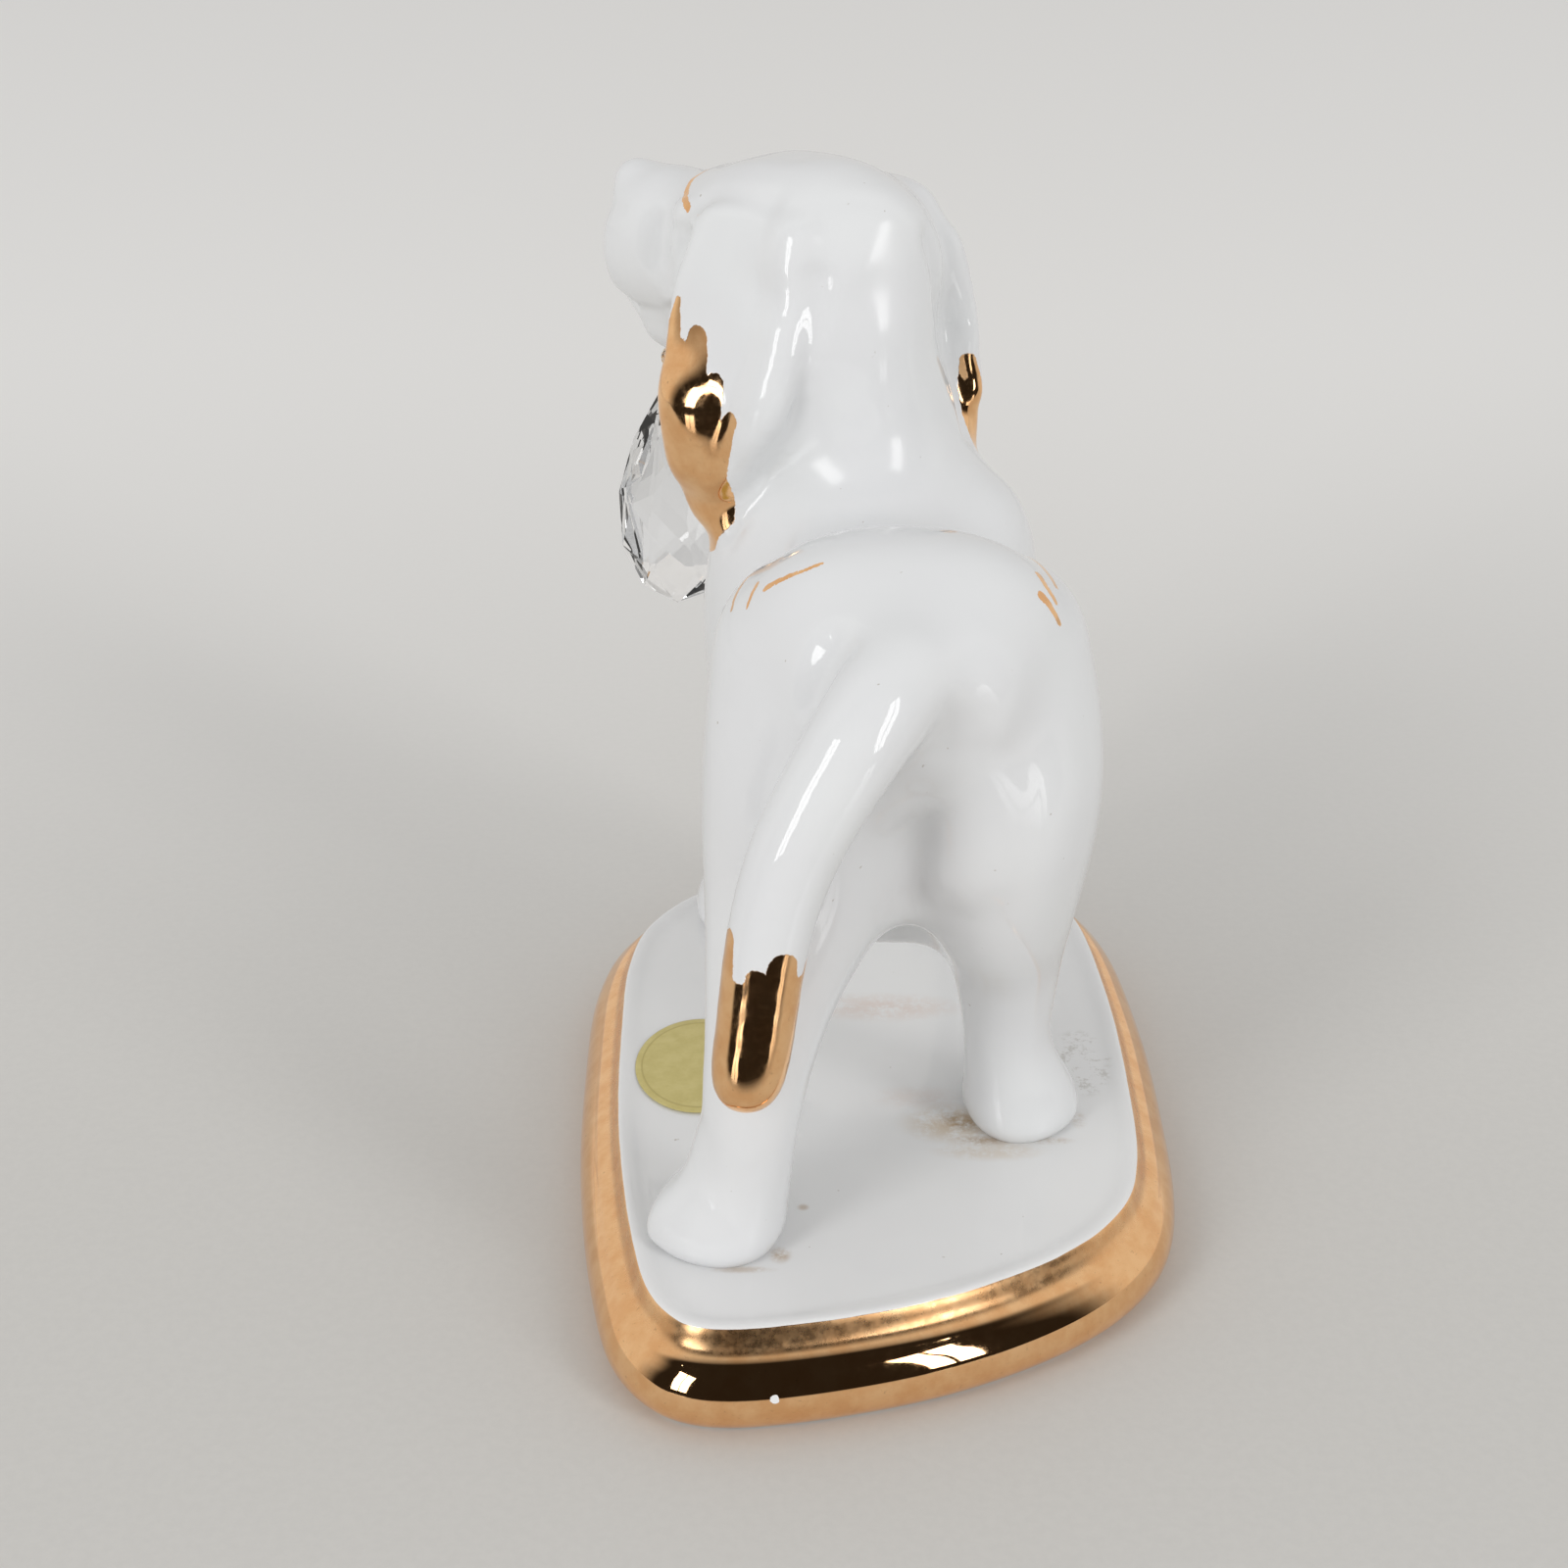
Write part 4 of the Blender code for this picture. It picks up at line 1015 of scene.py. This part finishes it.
def rim_gold(wires):
    """The gilt rim, from just outside the deck's raised edge nearly down to the foot, with a few chips."""
    wobble = wires.math("MULTIPLY_ADD", wires.noise(180.0, 2.0), 0.5, -0.25)
    place = wires.math("ADD", wires.attribute("down"), wobble)
    gold = wires.math("MULTIPLY", wires.ramp(place, GOLD_FROM, GOLD_FROM + 0.15),
                      wires.ramp(place, GOLD_TO, GOLD_TO + 0.2, 1.0, 0.0))
    ragged = wires.math("MULTIPLY_ADD", wires.noise(1500.0, 4.0, 0.7), 0.9, -0.45)
    for middle, radius in CHIPS:
        distance = wires.vector("DISTANCE", wires.place, tuple(part * MM for part in middle))
        edge = wires.math("ADD", wires.math("DIVIDE", distance, radius * MM), ragged)
        gold = wires.math("MULTIPLY", gold, wires.ramp(edge, 0.95, 1.05))
    return gold


def dog_gold(wires):
    """The painted gold, with a slightly ragged edge."""
    ragged = wires.math("MULTIPLY_ADD", wires.noise(1400.0, 3.0, 0.6), 0.5, -0.25)
    return wires.ramp(wires.math("ADD", wires.attribute("gold"), ragged), -0.06, 0.06)


def glass_material():
    """Clear cut crystal, with faint polishing haze."""
    wires = Finish("cut_crystal")
    haze = wires.ramp(wires.noise(600.0, 4.0, 0.6), 0.55, 0.75, 0.0, 0.02)
    wires.set(Base_Color=(0.985, 0.99, 1.0, 1.0), Roughness=haze)
    wires.set(Transmission_Weight=1.0, IOR=CRYSTAL_IOR)
    return wires.material


def wire_material():
    """Gilt brass wire, with drawn lines and small tarnished spots."""
    wires = Finish("gilt_wire")
    tone = wires.ramp(wires.noise(800.0, 3.0), 0.3, 0.7)
    gilt = wires.mix(tone, (0.95, 0.70, 0.36), (0.82, 0.55, 0.25))
    spots = wires.ramp(wires.noise(2200.0, 5.0, 0.7, shift=0.2), 0.62, 0.70, 0.0, 0.7)
    wires.set(Base_Color=wires.mix(spots, gilt, WORN_GOLD), Metallic=1.0)
    wires.set(Roughness=wires.ramp(wires.noise(1500.0, 4.0), 0.3, 0.8, 0.10, 0.28))
    wires.bump(wires.noise(2500.0, 3.0), 0.2, 0.02 * MM)
    return wires.material


def foil_material(middle, half):
    """Blank gold foil on paper: an embossed line inside its edge, brushed grain and small creases."""
    wires = Finish("blank_foil")
    offset = wires.vector("SUBTRACT", wires.place, tuple(middle))
    spread = wires.vector("LENGTH", wires.vector("DIVIDE", offset, (half.x, half.y, 1.0)))
    away = wires.math("ABSOLUTE", wires.math("SUBTRACT", spread, 0.90))
    line = wires.math("SUBTRACT", 1.0, wires.math("MULTIPLY", away, 45.0), clamp=True)
    tone = wires.ramp(wires.noise(400.0, 4.0, 0.6), 0.3, 0.7)
    foil = wires.mix(tone, (0.67, 0.58, 0.24), (0.60, 0.51, 0.19))
    wires.set(Base_Color=wires.mix(line, foil, (0.50, 0.41, 0.14)), Metallic=0.35)
    wires.set(Roughness=wires.ramp(wires.noise(1800.0, 3.0), 0.3, 0.7, 0.36, 0.50))
    creases = wires.math("ADD", wires.noise(350.0, 5.0, 0.7), line)
    wires.bump(creases, 0.5, 0.06 * MM)
    return wires.material


def bound(piece, finish, body, node):
    """Give a piece its finish, and let it stand in for its CAD node on its body."""
    piece.data.materials.clear()
    piece.data.materials.append(finish)
    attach(piece, body)
    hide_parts(node)


def wire_piece(name, node, body, metal, cutter=None):
    """A CAD node as round wire, cut through where the cutter is."""
    wire = linked(name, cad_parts[node].data.copy())
    smoother = wire.modifiers.new("smoother", "SUBSURF")
    smoother.levels = 1
    if cutter:
        cut = wire.modifiers.new("cut", "BOOLEAN")
        cut.object = cutter
        cut.solver = "EXACT"
    apply_modifiers(wire)
    wire.data.shade_smooth()
    bound(wire, metal, body, node)


def wire_pieces():
    """The eyelet and the jump ring, which has a slit where its ends meet."""
    metal = wire_material()
    wire_piece("eyelet_wire", "mouth_eyelet", "figurine", metal)
    low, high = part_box("jump_ring")
    middle = (low + high) / 2
    bm = bmesh.new()
    bmesh.ops.create_cube(bm, size=1.0)
    bmesh.ops.scale(bm, verts=bm.verts, vec=(4.0 * MM, 4.0 * MM, RING_SLIT))
    bmesh.ops.translate(bm, verts=bm.verts, vec=middle + RING_SIDE * (high.z - middle.z))
    slit = built("ring_slit", bm)
    wire_piece("jump_ring_wire", "jump_ring", "ring", metal, slit)
    discard(slit)


def crystal_piece():
    """The cut drop, with its facets' edges lightly broken so that they catch the light."""
    drop = linked("cut_drop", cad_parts["crystal_drop"].data.copy())
    edge = drop.modifiers.new("edge", "BEVEL")
    edge.width = FACET_EDGE
    edge.segments = 1
    edge.limit_method = "ANGLE"
    edge.angle_limit = math.radians(6.0)
    apply_modifiers(drop)
    bound(drop, glass_material(), "drop", "crystal_drop")


# The foil label's dome, in shares of its half sizes and of its thickness, and its corners around.
LABEL_DOME = ((0.0, 1.0), (0.3, 0.97), (0.6, 0.86), (0.82, 0.70), (0.93, 0.55), (0.98, 0.38), (1.0, 0.1))
LABEL_STEPS = 96


def label_piece():
    """The blank foil label, slightly domed by the paste under it, with a soft edge."""
    low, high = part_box("foil_sticker")
    middle, half = (low + high) / 2, (high - low) / 2
    bm = bmesh.new()
    rings = []
    for share, lift in LABEL_DOME:
        ring = []
        for step in range(LABEL_STEPS):
            turn = 2 * math.pi * step / LABEL_STEPS
            ring.append(bm.verts.new((middle.x + half.x * share * math.cos(turn),
                                      middle.y + half.y * share * math.sin(turn),
                                      low.z + (high.z - low.z) * lift)))
        rings.append(ring)
    rings.append([bm.verts.new((vertex.co.x, vertex.co.y, low.z)) for vertex in rings[-1]])
    for ring, following in zip(rings, rings[1:]):
        for step in range(LABEL_STEPS):
            after = (step + 1) % LABEL_STEPS
            bm.faces.new((ring[step], following[step], following[after], ring[after]))
    bm.faces.new(reversed(rings[-1]))
    bmesh.ops.remove_doubles(bm, verts=bm.verts, dist=0.001 * MM)
    label = built("foil_label", bm)
    label.data.shade_smooth()
    bound(label, foil_material(middle, half), "figurine", "foil_sticker")


def room():
    """Surroundings: pale all round for soft fill, but gloss sees a dark room behind the camera."""
    world = bpy.data.worlds.new("room")
    bpy.context.scene.world = world
    world.use_nodes = True
    wires = Wiring(world.node_tree)
    split = wires.add("ShaderNodeSeparateXYZ")
    wires.feed(split.inputs[0], wires.add("ShaderNodeTexCoord").outputs["Generated"])
    ahead = wires.ramp(split.outputs["Y"], *ROOM_TURNS)
    above = wires.ramp(split.outputs["Z"], *OVERHEAD_TURNS, kind="LINEAR")
    fill = wires.mix(above, wires.mix(ahead, NEAR_FILL, FAR_FILL), OVERHEAD_FILL)
    ray = wires.add("ShaderNodeLightPath").outputs
    lit = wires.mix(ray["Is Diffuse Ray"], wires.mix(ahead, DARK_ROOM, PALE_ROOM), fill)
    seen = wires.mix(ray["Is Camera Ray"], lit, BACKDROP)
    wires.feed(wires.tree.nodes["Background"].inputs["Color"], seen)


def paper_floor():
    """A pale paper floor, painted lighter further off as if better lit there, whose near part gloss sees as
    dark.
    """
    bpy.ops.mesh.primitive_plane_add(size=8.0, location=(0.0, 0.0, 0.0))
    floor = bpy.context.object
    floor.name = "floor"
    wires = Finish("floor_paper")
    split = wires.add("ShaderNodeSeparateXYZ")
    wires.feed(split.inputs[0], wires.place)
    # Painted light: the floor grows lighter towards +Y, away from the camera.
    far = wires.ramp(split.outputs["Y"], *FLOOR_TURNS)
    grain = wires.ramp(wires.noise(700.0, 4.0, 0.65), 0.3, 0.7)
    near = wires.mix(grain, FLOOR_NEAR, tuple(0.97 * part for part in FLOOR_NEAR))
    paper = wires.mix(far, near, FLOOR_FAR_PAINTED_LIGHTER)
    mirrored = wires.add("ShaderNodeLightPath").outputs["Is Glossy Ray"]
    unlit = wires.math("MULTIPLY", mirrored, wires.ramp(split.outputs["Y"], *UNLIT_TURNS, 1.0, 0.0))
    wires.set(Base_Color=wires.mix(unlit, paper, FLOOR_UNLIT))
    wires.set(Roughness=wires.math("MULTIPLY_ADD", unlit, -0.82, 0.9))
    wires.set(Specular_IOR_Level=wires.math("MULTIPLY_ADD", unlit, 0.5, 0.5))
    floor.data.materials.append(wires.material)


def softboxes():
    """Two softboxes, each of two tall panels with a slit between them."""
    for side, up, width in PANEL_PAIRS:
        azimuth, elevation = math.radians(side), math.radians(up)
        toward = Vector((math.sin(azimuth) * math.cos(elevation), -math.cos(azimuth) * math.cos(elevation),
                         math.sin(elevation)))
        across = Vector((math.cos(azimuth), math.sin(azimuth), 0.0))
        for half in (-1.0, 1.0):
            lamp = bpy.data.lights.new("softbox_panel", "AREA")
            lamp.shape = "RECTANGLE"
            lamp.size = width
            lamp.size_y = PANEL_HEIGHT
            lamp.energy = PANEL_RADIANCE * math.pi * width * PANEL_HEIGHT
            made = linked("softbox_panel", lamp)
            made.location = PANEL_AIM + toward * PANEL_REACH + across * (half * (width + PANEL_SPLIT) / 2)
            made.rotation_euler = toward.to_track_quat("Z", "Y").to_euler()


def camera_view():
    """The camera, at the photograph's angle."""
    camera = bpy.data.cameras.new("camera")
    camera.sensor_width = SENSOR
    camera.lens = CAMERA_LENS
    camera.clip_start = 0.01
    view = linked("camera", camera)
    back = Vector((0.0, -math.cos(CAMERA_ELEVATION), math.sin(CAMERA_ELEVATION)))
    view.location = CAMERA_TARGET + back * CAMERA_DISTANCE
    view.rotation_euler = back.to_track_quat("Z", "Y").to_euler()
    bpy.context.scene.camera = view


hound = dog_skin()
hound.data.materials.clear()
hound.data.materials.append(hound_porcelain())
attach(hound, "figurine")
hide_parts(*CASTINGS)

bound(plinth_skin(), plinth_porcelain(), "figurine", "plinth")
wire_pieces()
crystal_piece()
label_piece()

bpy.context.scene.view_settings.view_transform = "Standard"
paper_floor()
room()
softboxes()
camera_view()
